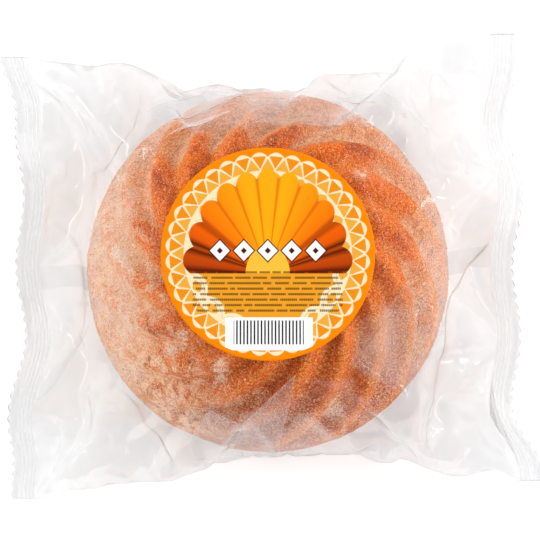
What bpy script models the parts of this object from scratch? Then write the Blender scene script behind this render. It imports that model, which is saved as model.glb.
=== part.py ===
# Ring cake sealed in a clear flow-wrap bag, with a round paper label on top.
#
# The cake was baked in a fluted ring mould, so sixteen flutes spiral from its foot to its crown.
# The bag is one film tube round the cake. It is pulled tight over the crown and pressed flat into
# a crimped seal at each end, and its ends are cut in a zigzag.
#
# The bag is modelled as the closed solid that its film encloses, with the cake's flutes standing
# in relief where the film lies on them. Film bends but hardly stretches, so its form is found
# with a net of threads of fixed length that is drawn taut round the cake between the two seals.
#
# Metres, +Z up. The origin is on the surface that the cake stands on, below the middle of the
# ring. The seals lie to -X and +X.

import math

import bmesh
import bpy
import numpy as np
from mathutils import Matrix, Vector
from mathutils.bvhtree import BVHTree

# The cake
FOOT_RADIUS = 0.0795
CROWN_RADIUS = 0.040
CAKE_HEIGHT = 0.0755
SHOULDER_POWER = 1.7
FLUTES = 16
FLUTE_DEPTH = 0.0055
FURROW_POWER = 2.2
FLUTE_START_HEIGHT = 0.012
FLUTE_FULL_HEIGHT = 0.036
FOOT_BEVEL = 0.002
FLUTE_PITCH_TANGENT = 0.75
FLUTE_PHASE = math.radians(4.0)
PHASE_HEIGHT = 0.060
SIDES_PER_FLUTE = 6
PROFILE_STEPS = 14
PROFILE_SPACING = 0.9
TWIST_STEPS = 400

# The film, which is a net of threads with these lengths round the tube and along it
FILM_CLEARANCE = 0.0005
FILM_FLOOR = 0.0004
FOOT_EDGE_SLOPE = 1.5
TUBE_GIRTH = 0.418
TUBE_LENGTH = 0.226
TUBE_SIDES = 80
TUBE_ROWS = 45
SWELL_POWER = 3
EVEN_ROUNDS = 60
EVEN_SHARE = 0.25
CREASE_SEED = 7
CREASE_START = 0.0004
PUFF = 0.0002
PUFF_ROUNDS = 120
TAUT_ROUNDS = 260
THREAD_TURNS = 6
PRESSED_THREAD = 0.5
SLANT_STRETCHED = 0.6
SLANT_PRESSED = 0.3
BEND_SPANS = (2, 4)
BEND_FIRMNESS = 0.05
UNCROSS_ROUNDS = 200
UNCROSS_SPREAD = 2

# Where the film touches the shoulder, it sinks into the furrows
FLAT_TOP_RADIUS = 0.0435
RELIEF_RADIUS = 0.049
CLING_GAP = 0.003
CLING_LOW = 0.048
CLING_HIGH = 0.058

# The end seals
SEAL_REACH = 0.0965
SEAL_SKEW = 0.004
SEAL_HALF_SPAN = 0.0955
SEAL_HEIGHT = 0.027
SEAL_WIDTH = 0.0105
SEAL_HALF_THICKNESS = 0.00045
SEAL_SAMPLES = 801
WAVE_LIMIT = 0.02
WAVE_HALVINGS = 30
WAVE_TURNS = 6.0
WAVE_SHIFT = 0.9
RIPPLE_DEPTH = 0.0025
RIPPLE_TURNS = 9.5
RIPPLE_SHIFT = 1.3
CURL_SLOPE = 0.16
CURL_TURNS = 5.0
CURL_SHIFT = 1.7
CURL_END_POWER = 4
RIB_HEIGHT = 0.0003
RIB_PITCH = 0.0021
RIBS = 3
TOOTH_DEPTH = 0.0013
CORNER_SPAN = 0.030

# How far each seal's corners flare outwards and rise: the end, the side, the flare, the rise
CORNERS = (
    (-1, 1, 0.0100, 0.006),
    (-1, -1, 0.0035, -0.004),
    (1, 1, 0.0005, 0.003),
    (1, -1, 0.0100, -0.003),
)

# The label
LABEL_RADIUS = 0.043
LABEL_THICKNESS = 0.0005
LABEL_GAP = 0.0003
LABEL_SIDES = 72

# Finishes
FILM_COLOUR = (0.83, 0.66, 0.52)
FILM_ROUGHNESS = 0.18
PAPER_COLOUR = (0.90, 0.42, 0.06)
PAPER_ROUGHNESS = 0.35

FILM_TOP = CAKE_HEIGHT + FILM_CLEARANCE
TURN = 2.0 * math.pi
TINY = 1e-9
MERGE_DISTANCE = 1e-6


def clear_scene():
    for item in list(bpy.data.objects):
        bpy.data.objects.remove(item, do_unlink=True)


def material(name, colour, roughness):
    finish = bpy.data.materials.new(name)
    finish.use_nodes = True
    shader = finish.node_tree.nodes["Principled BSDF"]
    shader.inputs["Base Color"].default_value = (*colour, 1.0)
    shader.inputs["Roughness"].default_value = roughness
    shader.inputs["Metallic"].default_value = 0.0
    return finish


def make_object(name, bm, finish=None):
    mesh = bpy.data.meshes.new(name)
    bm.to_mesh(mesh)
    bm.free()
    item = bpy.data.objects.new(name, mesh)
    bpy.context.scene.collection.objects.link(item)
    if finish is not None:
        mesh.materials.append(finish)
    return item


def fuse(target, tool):
    """Join the tool to the target as one body, and remove the tool."""
    modifier = target.modifiers.new("union", "BOOLEAN")
    modifier.operation = "UNION"
    modifier.solver = "EXACT"
    modifier.object = tool
    depsgraph = bpy.context.evaluated_depsgraph_get()
    result = bpy.data.meshes.new_from_object(target.evaluated_get(depsgraph))
    target.modifiers.clear()
    old = target.data
    target.data = result
    bpy.data.meshes.remove(old)
    bpy.data.objects.remove(tool, do_unlink=True)


def smooth_step(value, start, end):
    """0 before the start, 1 after the end and an even curve between them."""
    share = np.clip((value - start) / (end - start), 0.0, 1.0)
    return share * share * (3.0 - 2.0 * share)


def profile_point(angle):
    """A point of the shoulder's crest line: 0 is the foot's rim and a quarter turn the crown."""
    power = 2.0 / SHOULDER_POWER
    radius = CROWN_RADIUS + (FOOT_RADIUS - CROWN_RADIUS) * math.cos(angle) ** power
    return radius, CAKE_HEIGHT * math.sin(angle) ** power


def flute_depth(height):
    return FLUTE_DEPTH * smooth_step(height, FLUTE_START_HEIGHT, FLUTE_FULL_HEIGHT)


def twist_table():
    """The turn of a crest line at each height, from its constant angle to the meridians."""
    table = []
    turn = 0.0
    last = profile_point(0.0)
    for step in range(TWIST_STEPS + 1):
        point = profile_point(0.5 * math.pi * step / TWIST_STEPS)
        length = math.dist(point, last)
        turn += FLUTE_PITCH_TANGENT * length / (0.5 * (point[0] + last[0]))
        table.append((point[1], turn))
        last = point
    return table


TWIST = twist_table()


def twist_at(height):
    for low, high in zip(TWIST, TWIST[1:]):
        if height <= high[0]:
            share = (height - low[0]) / max(TINY, high[0] - low[0])
            return low[1] + share * (high[1] - low[1])
    return TWIST[-1][1]


def fluted_cake():
    """A turned dome whose rows are twisted, then scalloped into rounded flutes."""
    bm = bmesh.new()
    wrapped_foot = FOOT_RADIUS + FILM_CLEARANCE
    corners = [
        Vector((0.0, 0.0, 0.0)),
        Vector((wrapped_foot - FOOT_BEVEL, 0.0, 0.0)),
        Vector((wrapped_foot, 0.0, FOOT_BEVEL)),
    ]
    for step in range(PROFILE_STEPS + 1):
        angle = 0.5 * math.pi * (step / PROFILE_STEPS) ** PROFILE_SPACING
        radius, height = profile_point(angle)
        if height > 2.0 * FOOT_BEVEL:
            corners.append(Vector((radius, 0.0, height)))
    corners.append(Vector((0.0, 0.0, CAKE_HEIGHT)))
    verts = [bm.verts.new(corner) for corner in corners]
    edges = [bm.edges.new(pair) for pair in zip(verts, verts[1:])]
    bmesh.ops.spin(
        bm, geom=verts + edges, cent=(0, 0, 0), axis=(0, 0, 1), angle=TURN,
        steps=FLUTES * SIDES_PER_FLUTE, use_merge=True)
    bmesh.ops.remove_doubles(bm, verts=bm.verts, dist=MERGE_DISTANCE)
    phase_twist = twist_at(PHASE_HEIGHT)
    for vert in bm.verts:
        radius = math.hypot(vert.co.x, vert.co.y)
        if radius < MERGE_DISTANCE:
            continue
        angle = math.atan2(vert.co.y, vert.co.x)
        turned = angle + FLUTE_PHASE + twist_at(vert.co.z) - phase_twist
        furrow = abs(math.sin(0.5 * FLUTES * angle))
        sink = flute_depth(vert.co.z) * furrow ** FURROW_POWER
        slope_radius = (radius - CROWN_RADIUS) / (FOOT_RADIUS - CROWN_RADIUS)
        slope_height = vert.co.z / CAKE_HEIGHT
        outward = Vector((slope_radius, slope_height)).normalized()
        radius -= sink * outward.x
        vert.co = Vector((radius * math.cos(turned), radius * math.sin(turned),
                          vert.co.z - sink * outward.y))
    bmesh.ops.recalc_face_normals(bm, faces=bm.faces)
    return bm


def seal_curve(end, share, wave_height):
    """Points of a seal's inner line, for shares of its span from 1 at +Y to -1 at -Y."""
    flares = {side: (flare, rise) for which, side, flare, rise in CORNERS if which == end}
    flare = np.where(share > 0, flares[1][0], flares[-1][0])
    rise = np.where(share > 0, flares[1][1], flares[-1][1])
    near = 1.0 - smooth_step(SEAL_HALF_SPAN * (1.0 - np.abs(share)), 0.0, CORNER_SPAN)
    wave = np.sin(WAVE_TURNS * share + WAVE_SHIFT * end)
    ripple = np.sin(RIPPLE_TURNS * share - RIPPLE_SHIFT * end) * (1.0 - near)
    return np.stack((
        end * (SEAL_REACH + flare * near + RIPPLE_DEPTH * ripple),
        SEAL_HALF_SPAN * share + end * SEAL_SKEW,
        SEAL_HEIGHT + rise * near + wave_height * wave), axis=-1)


def seal_points(end, count):
    """Evenly spaced points on the seal line, waved just enough to take up half the girth."""
    low, high = 0.0, WAVE_LIMIT
    share = np.linspace(1.0, -1.0, SEAL_SAMPLES)
    for _ in range(WAVE_HALVINGS):
        middle = 0.5 * (low + high)
        line = seal_curve(end, share, middle)
        length = np.linalg.norm(np.diff(line, axis=0), axis=1).sum()
        low, high = (middle, high) if length < 0.5 * TUBE_GIRTH else (low, middle)
    arc = np.concatenate(([0.0], np.cumsum(np.linalg.norm(np.diff(line, axis=0), axis=1))))
    wanted = np.linspace(0.0, arc[-1], count)
    return np.stack([np.interp(wanted, arc, line[:, axis]) for axis in range(3)], axis=-1)


def column_layers():
    """1 for the columns of the upper layer, -1 for the lower one, 0 for the two side folds."""
    half = TUBE_SIDES // 2
    column = np.arange(TUBE_SIDES)
    return np.where(column % half == 0, 0, np.where(column < half, 1, -1))


def first_net():
    """Rows of points from the left seal to the right one, swollen over the cake between them."""
    half = TUBE_SIDES // 2
    layer = column_layers()
    folded = np.concatenate((np.arange(half + 1), np.arange(half - 1, 0, -1)))
    left = seal_points(-1, half + 1)[folded]
    right = seal_points(1, half + 1)[folded]
    share = 1.0 - 2.0 * folded / half
    net = np.zeros((TUBE_ROWS, TUBE_SIDES, 3))
    for row, along in enumerate(np.linspace(-1.0, 1.0, TUBE_ROWS)):
        line = left + (right - left) * 0.5 * (along + 1.0)
        swell = 1.0 - abs(along) ** SWELL_POWER
        lift = swell * (CAKE_HEIGHT - line[:, 2])
        top = line[:, 2] + lift * np.minimum(1.0, 2.0 - 2.0 * np.abs(share))
        side = np.where(layer < 0, line[:, 2] * (1.0 - swell), line[:, 2])
        net[row] = np.stack((line[:, 0], line[:, 1], np.where(layer > 0, top, side)), axis=-1)
    net[0, :, 2] = left[:, 2] + layer * SEAL_HALF_THICKNESS
    net[-1, :, 2] = right[:, 2] + layer * SEAL_HALF_THICKNESS
    return net


def hull_size(beyond, z):
    """1 on the hull round the crests, less inside it, for distances beyond the crown's rim."""
    reach = FOOT_RADIUS - CROWN_RADIUS + FILM_CLEARANCE
    return (beyond / reach) ** SHOULDER_POWER + (z / FILM_TOP) ** SHOULDER_POWER


def keep_out(points, under):
    """Push points out of the cake's rounded hull. The lower layer slips beneath its foot."""
    x, y = points[..., 0], points[..., 1]
    z = np.maximum(points[..., 2], FILM_FLOOR)
    radius = np.hypot(x, y)
    crown = radius <= CROWN_RADIUS
    beyond = np.maximum(radius - CROWN_RADIUS, TINY)
    size = hull_size(beyond, z)
    grow = size ** (-1.0 / SHOULDER_POWER)
    inside = ~crown & (size < 1.0)
    slip = inside & under & (z - FILM_FLOOR <= FOOT_EDGE_SLOPE * beyond * (grow - 1.0))
    out = inside & ~slip
    stretch = np.where(out, (CROWN_RADIUS + beyond * grow) / np.maximum(radius, TINY), 1.0)
    z = np.where(crown, np.where(under, FILM_FLOOR, np.maximum(z, FILM_TOP)), z)
    z = np.where(out, z * grow, np.where(slip, FILM_FLOOR, z))
    return np.stack((x * stretch, y * stretch, z), axis=-1)


def keep_apart(net):
    """Hold the upper layer above the point of the lower layer that it was folded from."""
    half = TUBE_SIDES // 2
    upper = net[1:-1, 1:half, 2]
    lower = net[1:-1, :half:-1, 2]
    push = 0.5 * np.maximum(0.0, 2.0 * SEAL_HALF_THICKNESS - (upper - lower))
    upper += push
    lower -= push


def neighbour_mean(net):
    """The mean of the four neighbours of each point between the first row and the last one."""
    around = (np.roll(net, 1, 1) + np.roll(net, -1, 1))[1:-1]
    return 0.25 * around + 0.25 * (net[:-2] + net[2:])


def even_out(net, under):
    for _ in range(EVEN_ROUNDS):
        step = EVEN_SHARE * (neighbour_mean(net) - net[1:-1])
        net[1:-1] = keep_out(net[1:-1] + step, under)
    return net


def pull(first, second, rest, stretched, pressed, held):
    """How the two ends of a thread move towards its rest length, from how it resists each way."""
    gap = second - first
    length = np.linalg.norm(gap, axis=-1, keepdims=True)
    firmness = np.where(length > rest, stretched, pressed) * (length - rest) / np.maximum(length, TINY)
    share = firmness / np.maximum(held[0] + held[1], TINY)
    return gap * share * held[0], -gap * share * held[1]


def pull_neighbour_rows(net, free, shift, rest, stretched, pressed):
    """Threads between a row and the next, in two turns so that no point moves twice."""
    for start in (0, 1):
        first, second = net[start:-1:2], np.roll(net[start + 1::2], -shift, 1)
        count = min(len(first), len(second))
        held = (free[start:-1:2][:count], np.roll(free[start + 1::2][:count], -shift, 1))
        move = pull(first[:count], second[:count], rest, stretched, pressed, held)
        net[start:-1:2][:count] += move[0]
        net[start + 1::2][:count] += np.roll(move[1], shift, 1)


def pull_neighbour_columns(net, free, rest, stretched, pressed):
    """Threads round the tube, in two turns as well."""
    for start in (0, 1):
        here = np.arange(start, TUBE_SIDES, 2)
        there = (here + 1) % TUBE_SIDES
        move = pull(net[:, here], net[:, there], rest, stretched, pressed, (free[:, here], free[:, there]))
        net[:, here] += move[0]
        net[:, there] += move[1]


def resist_bending(net, free, span, along, around):
    """Threads over several points, which only resist being pressed together."""
    held = (free[:-span], free[span:])
    move = pull(net[:-span], net[span:], span * along, 0.0, BEND_FIRMNESS, held)
    net[:-span] += 0.5 * move[0]
    net[span:] += 0.5 * move[1]
    held = (free, np.roll(free, -span, 1))
    move = pull(net, np.roll(net, -span, 1), span * around, 0.0, BEND_FIRMNESS, held)
    net += 0.5 * move[0]
    net += 0.5 * np.roll(move[1], span, 1)


def outward(net):
    """The direction away from the inside of the tube, at each point."""
    around = np.roll(net, -1, 1) - np.roll(net, 1, 1)
    along = np.zeros_like(net)
    along[1:-1] = net[2:] - net[:-2]
    normal = np.cross(along, around)
    return normal / np.maximum(np.linalg.norm(normal, axis=-1, keepdims=True), TINY ** 2)


def draw_taut(net, under):
    """Puff the net up less and less, and draw its threads to their lengths after each puff."""
    along = TUBE_LENGTH / (TUBE_ROWS - 1)
    around = TUBE_GIRTH / TUBE_SIDES
    slant = math.hypot(along, around)
    free = np.ones(net.shape[:2] + (1,))
    free[0] = free[-1] = 0.0
    for step in range(TAUT_ROUNDS):
        net += outward(net) * free * PUFF * max(0.0, 1.0 - step / PUFF_ROUNDS)
        for _ in range(THREAD_TURNS):
            pull_neighbour_rows(net, free, 0, along, 1.0, PRESSED_THREAD)
            pull_neighbour_columns(net, free, around, 1.0, PRESSED_THREAD)
            for shift in (1, -1):
                pull_neighbour_rows(net, free, shift, slant, SLANT_STRETCHED, SLANT_PRESSED)
            for span in BEND_SPANS:
                resist_bending(net, free, span, along, around)
            keep_apart(net)
            net[1:-1] = keep_out(net[1:-1], under)
    return net


def net_triangles():
    corners = []
    for row in range(TUBE_ROWS - 1):
        for column in range(TUBE_SIDES):
            beside = (column + 1) % TUBE_SIDES
            here, above = row * TUBE_SIDES, (row + 1) * TUBE_SIDES
            corners.append((here + column, here + beside, above + beside))
            corners.append((here + column, above + beside, above + column))
    return corners


def crossing_points(net, triangles):
    """A mask of the points of triangles that pass through each other, and of those near them."""
    tree = BVHTree.FromPolygons([tuple(point) for point in net.reshape(-1, 3)], triangles)
    mask = np.zeros(TUBE_ROWS * TUBE_SIDES, dtype=bool)
    for one, other in tree.overlap(tree):
        if one != other and not set(triangles[one]) & set(triangles[other]):
            mask[list(triangles[one] + triangles[other])] = True
    mask = mask.reshape(TUBE_ROWS, TUBE_SIDES)
    for _ in range(UNCROSS_SPREAD if mask.any() else 0):
        wider = mask | np.roll(mask, 1, 1) | np.roll(mask, -1, 1)
        wider[1:] |= mask[:-1]
        wider[:-1] |= mask[1:]
        mask = wider
    return mask[1:-1, :, None]


def uncross(net, under):
    """Smooth the net where two folds pass through each other, until none does."""
    triangles = net_triangles()
    for _ in range(UNCROSS_ROUNDS):
        mask = crossing_points(net, triangles)
        if not mask.any():
            break
        net[1:-1] = np.where(mask, 0.5 * (net[1:-1] + neighbour_mean(net)), net[1:-1])
        keep_apart(net)
        net[1:-1] = keep_out(net[1:-1], under)
    return net


def cling(points):
    """Let the film that touches the shoulder sink to the furrows, so that the flutes stand out."""
    x, y, z = points[..., 0], points[..., 1], points[..., 2]
    radius = np.hypot(x, y)
    beyond = np.maximum(radius - CROWN_RADIUS, TINY)
    span = np.hypot(beyond, z)
    gap = span * (1.0 - np.maximum(hull_size(beyond, z), 1.0) ** (-1.0 / SHOULDER_POWER))
    touching = 1.0 - smooth_step(gap, 0.0, CLING_GAP)
    touching *= smooth_step(z, CLING_LOW, CLING_HIGH)
    sink = flute_depth(z) * touching * smooth_step(radius, FLAT_TOP_RADIUS, RELIEF_RADIUS)
    shrink = 1.0 - sink / span
    sunk = (CROWN_RADIUS + beyond * shrink) / np.maximum(radius, TINY)
    stretch = np.where(radius > CROWN_RADIUS, sunk, 1.0)
    flat = np.where(radius < FLAT_TOP_RADIUS, np.minimum(z, FILM_TOP), z)
    return np.stack((x * stretch, y * stretch, flat * shrink), axis=-1)


def film_net():
    """The points of the film between the seals, row by row."""
    under = column_layers() < 0
    net = even_out(first_net(), under)
    net[1:-1] += np.random.default_rng(CREASE_SEED).normal(0.0, CREASE_START, net[1:-1].shape)
    net = uncross(draw_taut(net, under), under)
    net[1:-1] = cling(net[1:-1])
    return net


def extrude_ring(bm, ring):
    """Extrude a closed ring of points and return the new ring in the same order."""
    edges = [bm.edges.get((a, b)) for a, b in zip(ring, ring[1:] + ring[:1])]
    made = bmesh.ops.extrude_edge_only(bm, edges=edges)
    partner = {}
    for vert in (item for item in made["geom"] if isinstance(item, bmesh.types.BMVert)):
        for edge in vert.link_edges:
            partner[edge.other_vert(vert)] = vert
    return [partner[vert] for vert in ring]


def film_tube(net):
    """A circle extruded from seal to seal, whose rings take the places of the net's rows."""
    bm = bmesh.new()
    circle = bmesh.ops.create_circle(bm, segments=TUBE_SIDES, radius=SEAL_HALF_SPAN)
    ring = list(circle["verts"])
    bmesh.ops.rotate(bm, verts=ring, cent=(0, 0, 0), matrix=Matrix.Rotation(0.5 * math.pi, 3, "Y"))
    ring.sort(key=lambda vert: math.atan2(vert.co.z, vert.co.y) % TURN)
    rings = [ring]
    for _ in range(TUBE_ROWS - 1):
        rings.append(extrude_ring(bm, rings[-1]))
    for ring, row in zip(rings, net):
        for vert, place in zip(ring, row):
            vert.co = place
    return bm, rings[0], rings[-1]


def add_seal(bm, ring, end):
    """Extrude a flat end outwards in ribbed rows, then turn its closing faces into teeth."""
    half = TUBE_SIDES // 2
    layers = column_layers()
    start = [Vector((vert.co.x, vert.co.y, vert.co.z - layer * SEAL_HALF_THICKNESS))
             for vert, layer in zip(ring, layers)]
    offsets = [0.5 * RIB_PITCH * row for row in range(1, 2 * RIBS + 1)] + [SEAL_WIDTH - TOOTH_DEPTH]
    for row, offset in enumerate(offsets):
        ring = extrude_ring(bm, ring)
        rib = RIB_HEIGHT if row % 2 == 0 and row < 2 * RIBS else 0.0
        for index, vert in enumerate(ring):
            share = 1.0 - 2.0 * min(index, TUBE_SIDES - index) / half
            curl = CURL_SLOPE * math.sin(CURL_TURNS * share + CURL_SHIFT * end)
            curl *= 1.0 - share ** CURL_END_POWER
            rise = curl * offset + int(layers[index]) * (SEAL_HALF_THICKNESS + rib)
            vert.co = start[index] + Vector((end * offset, 0.0, rise))
    caps = []
    for index in range(half):
        corners = [ring[index], ring[index + 1], ring[(-index - 1) % TUBE_SIDES],
                   ring[-index % TUBE_SIDES]]
        caps.append(bm.faces.new(list(dict.fromkeys(corners))))
    tips = bmesh.ops.poke(bm, faces=caps)["verts"]
    bmesh.ops.translate(bm, verts=tips, vec=(end * TOOTH_DEPTH, 0, 0))


def build_bag():
    bm, left, right = film_tube(film_net())
    add_seal(bm, left, -1)
    add_seal(bm, right, 1)
    bmesh.ops.recalc_face_normals(bm, faces=bm.faces)
    bag = make_object("bag", bm, material("clear_film", FILM_COLOUR, FILM_ROUGHNESS))
    fuse(bag, make_object("cake", fluted_cake()))
    return bag


def build_label():
    """A thin round disc that lies on the film, over the ring's hole."""
    bm = bmesh.new()
    bmesh.ops.create_cone(
        bm, cap_ends=True, segments=LABEL_SIDES, radius1=LABEL_RADIUS, radius2=LABEL_RADIUS,
        depth=LABEL_THICKNESS)
    height = FILM_TOP + LABEL_GAP + 0.5 * LABEL_THICKNESS
    bmesh.ops.translate(bm, verts=bm.verts, vec=(0, 0, height))
    return make_object("label", bm, material("label_paper", PAPER_COLOUR, PAPER_ROUGHNESS))


def main():
    clear_scene()
    build_bag()
    build_label()


main()
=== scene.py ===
# %% [markdown]
# # A ring cake in a clear flow-wrap bag
#
# The object is a fluted ring cake, baked in a mould, sugared, and sealed in a tube of clear film.
# A round printed label is stuck on the outside of the film. This lesson builds its looks around a
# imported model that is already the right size: a solid for the bag and a thin disc for the label.
# Each step says what the real thing is like, which ways there are to make it, and why one of
# them was taken. Lengths are in metres and angles in radians unless a name says otherwise.

import math
from types import SimpleNamespace

import bmesh
import bpy
import numpy as np
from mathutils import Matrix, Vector, noise


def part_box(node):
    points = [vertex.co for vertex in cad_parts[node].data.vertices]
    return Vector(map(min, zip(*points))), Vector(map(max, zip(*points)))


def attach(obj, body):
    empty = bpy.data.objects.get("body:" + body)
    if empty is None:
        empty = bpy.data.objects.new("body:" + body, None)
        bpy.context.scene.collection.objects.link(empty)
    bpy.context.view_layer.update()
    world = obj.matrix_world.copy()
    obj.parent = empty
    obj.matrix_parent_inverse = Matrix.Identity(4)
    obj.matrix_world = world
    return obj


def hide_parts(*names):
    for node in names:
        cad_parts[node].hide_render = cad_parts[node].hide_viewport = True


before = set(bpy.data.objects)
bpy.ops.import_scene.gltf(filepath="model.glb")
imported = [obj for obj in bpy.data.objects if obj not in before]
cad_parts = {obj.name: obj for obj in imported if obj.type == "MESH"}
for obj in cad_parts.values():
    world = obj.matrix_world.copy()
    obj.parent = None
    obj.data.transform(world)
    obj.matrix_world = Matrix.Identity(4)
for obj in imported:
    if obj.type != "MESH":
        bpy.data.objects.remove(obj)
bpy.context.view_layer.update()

# %% [markdown]
# ## Measures
#
# The frame gives the outer box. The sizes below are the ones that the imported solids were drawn
# with, so that the fine surfaces land exactly where the plain solids are: the cake's crest line
# is a superellipse between its foot and its crown, and the two seals lie to the left and right.

# %% Sizes of the cake, the film and the label
TURN = 2.0 * math.pi

FOOT_RADIUS = 0.0795
CROWN_RADIUS = 0.040
CAKE_HEIGHT = 0.0755
CAKE_FLOOR = 0.0010
SHOULDER_POWER = 1.7

FILM_FLOOR = 0.0004
FILM_CLEARANCE = 0.0005
TUBE_GIRTH = 0.418
TUBE_LENGTH = 0.226
SEAL_REACH = 0.0965
SEAL_HALF_SPAN = 0.0955
SEAL_SKEW = 0.004
SEAL_HEIGHT = 0.027
SEAL_WIDTH = 0.0105
SEAL_HALF_THICKNESS = 0.00045

label_low, label_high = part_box("label")
LABEL_RADIUS = 0.5 * (label_high[0] - label_low[0])
LABEL_BOTTOM = label_low[2]
print("label", LABEL_RADIUS, "m in radius, lying at", LABEL_BOTTOM)

# %% [markdown]
# ## Camera
#
# The photograph looks almost straight down from the front edge. A long lens keeps the bag's
# sides nearly parallel. Instead of typing a rotation, the camera is turned by a direction: the
# vector from the camera to the point it looks at becomes its -Z axis.

# %% Camera
CAMERA_ELEVATION = math.radians(84.4)
CAMERA_DISTANCE = 0.80
CAMERA_LENS_MM = 120.4
CAMERA_AIM = Vector((0.0009, 0.0009, 0.0))


def aim(item, place, target):
    """Put an object at a place and turn its -Z axis towards the target."""
    item.location = place
    item.rotation_euler = (Vector(target) - Vector(place)).to_track_quat("-Z", "Y").to_euler()


camera = bpy.data.objects.new("camera", bpy.data.cameras.new("camera"))
bpy.context.scene.collection.objects.link(camera)
camera.data.lens = CAMERA_LENS_MM
backwards = Vector((0.0, -math.cos(CAMERA_ELEVATION), math.sin(CAMERA_ELEVATION)))
aim(camera, CAMERA_AIM + CAMERA_DISTANCE * backwards, CAMERA_AIM)
bpy.context.scene.camera = camera
print("camera at", tuple(round(value, 4) for value in camera.location))

# %% [markdown]
# ## Light and floor
#
# Clear film has almost no colour of its own: it shows what it mirrors. A packshot studio gives
# it a bright table, pale walls to the left, to the right and behind, a darker front and a dark
# ceiling with the camera in it. Flat film then mirrors the dark ceiling and stays clear, sloping
# film mirrors the walls and turns milky, and folds catch the two thin strip lamps as white lines.
# The room is a world whose brightness depends on the direction, and the table glows a little, as
# a light table does, which takes away the bag's shadow. Four large soft lamps light the crust.
# They are hidden from mirror rays, as the walls already stand for them there, and a square lamp
# mirrored in every facet would look like a window.

# %% Room, lamps and floor
WALL_BRIGHTNESS = 0.95
CEILING_BRIGHTNESS = 0.14
WALL_TOP = 0.35
CEILING_EDGE = 0.88
FRONT_SHARE = 0.18
FRONT_SPAN = (-0.90, -0.30)
TABLE_SIZE = 4.0
TABLE_COLOUR = (0.93, 0.93, 0.93, 1.0)
TABLE_ROUGHNESS = 0.6
TABLE_GLOW = 0.28
# Slightly blue, to make up for the orange light that the crust throws on the table
TABLE_GLOW_COLOUR = (0.94, 1.0, 1.04, 1.0)
LAMP_TARGET = (0.0, 0.0, 0.03)

# Name, place, width, height and power. The last two are strips, which film mirrors
LAMPS = (
    ("lamp_left", (-0.85, 0.20, 0.55), 0.70, 0.70, 4.9),
    ("lamp_right", (0.85, 0.10, 0.55), 0.70, 0.70, 5.1),
    ("lamp_back", (0.05, 0.95, 0.55), 0.60, 0.60, 2.0),
    ("lamp_front", (0.25, -0.95, 0.55), 0.60, 0.60, 5.6),
    ("strip_left", (-0.80, 0.30, 0.45), 0.90, 0.045, 0.6),
    ("strip_right", (0.85, 0.25, 0.45), 0.90, 0.045, 0.6),
)


def ramp(tree, value, from_span, to_span):
    """A smooth ramp of a world's value between two levels."""
    step = tree.nodes.new("ShaderNodeMapRange")
    step.interpolation_type = "SMOOTHSTEP"
    for name, level in zip(("From Min", "From Max", "To Min", "To Max"), from_span + to_span):
        step.inputs[name].default_value = level
    tree.links.new(value, step.inputs["Value"])
    return step.outputs[0]


def build_room():
    """A world that is bright at the walls, dim at the ceiling and dimmer still at the front."""
    world = bpy.data.worlds.new("room")
    world.use_nodes = True
    tree = world.node_tree
    direction = tree.nodes.new("ShaderNodeSeparateXYZ")
    tree.links.new(tree.nodes.new("ShaderNodeTexCoord").outputs["Generated"], direction.inputs[0])
    wall = ramp(
        tree, direction.outputs["Z"],
        (WALL_TOP, CEILING_EDGE), (WALL_BRIGHTNESS, CEILING_BRIGHTNESS))
    front = ramp(tree, direction.outputs["Y"], FRONT_SPAN, (FRONT_SHARE, 1.0))
    product = tree.nodes.new("ShaderNodeMath")
    product.operation = "MULTIPLY"
    tree.links.new(wall, product.inputs[0])
    tree.links.new(front, product.inputs[1])
    sky = tree.nodes["Background"]
    sky.inputs["Color"].default_value = (1.0, 1.0, 1.0, 1.0)
    tree.links.new(product.outputs[0], sky.inputs["Strength"])
    bpy.context.scene.world = world


def build_lamps():
    for name, place, width, height, power in LAMPS:
        lamp = bpy.data.lights.new(name, "AREA")
        lamp.shape = "RECTANGLE"
        lamp.size = width
        lamp.size_y = height
        lamp.energy = power
        item = bpy.data.objects.new(name, lamp)
        item.visible_glossy = name.startswith("strip")
        bpy.context.scene.collection.objects.link(item)
        aim(item, place, LAMP_TARGET)


def build_table():
    bm = bmesh.new()
    bmesh.ops.create_grid(bm, x_segments=1, y_segments=1, size=0.5 * TABLE_SIZE)
    mesh = bpy.data.meshes.new("table")
    bm.to_mesh(mesh)
    bm.free()
    finish = bpy.data.materials.new("white_table")
    finish.use_nodes = True
    shader = finish.node_tree.nodes["Principled BSDF"]
    shader.inputs["Base Color"].default_value = TABLE_COLOUR
    shader.inputs["Roughness"].default_value = TABLE_ROUGHNESS
    shader.inputs["Emission Color"].default_value = TABLE_GLOW_COLOUR
    shader.inputs["Emission Strength"].default_value = TABLE_GLOW
    mesh.materials.append(finish)
    table = bpy.data.objects.new("table", mesh)
    bpy.context.scene.collection.objects.link(table)


build_room()
build_lamps()
build_table()
bpy.context.scene.view_settings.view_transform = "Standard"
print("room with", len(LAMPS), "lamps")

# %% [markdown]
# ## Helpers for pieces and materials
#
# Every piece is made the same way: a bmesh becomes a mesh, the mesh gets one material, and its
# object stays at the origin with its place in its points. For materials, long chains of Math
# nodes are hard to read, so a small class lets a value that varies over the surface be written
# as an ordinary formula: each plus or times sign adds one Math node.

# %% Pieces
def make_piece(name, mesh, finish):
    """An object at the origin, shaded smooth, with one material."""
    mesh.materials.clear()
    mesh.materials.append(finish)
    mesh.shade_smooth()
    item = bpy.data.objects.new(name, mesh)
    bpy.context.scene.collection.objects.link(item)
    return item


def to_mesh(name, bm):
    mesh = bpy.data.meshes.new(name)
    bm.to_mesh(mesh)
    bm.free()
    return mesh


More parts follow.
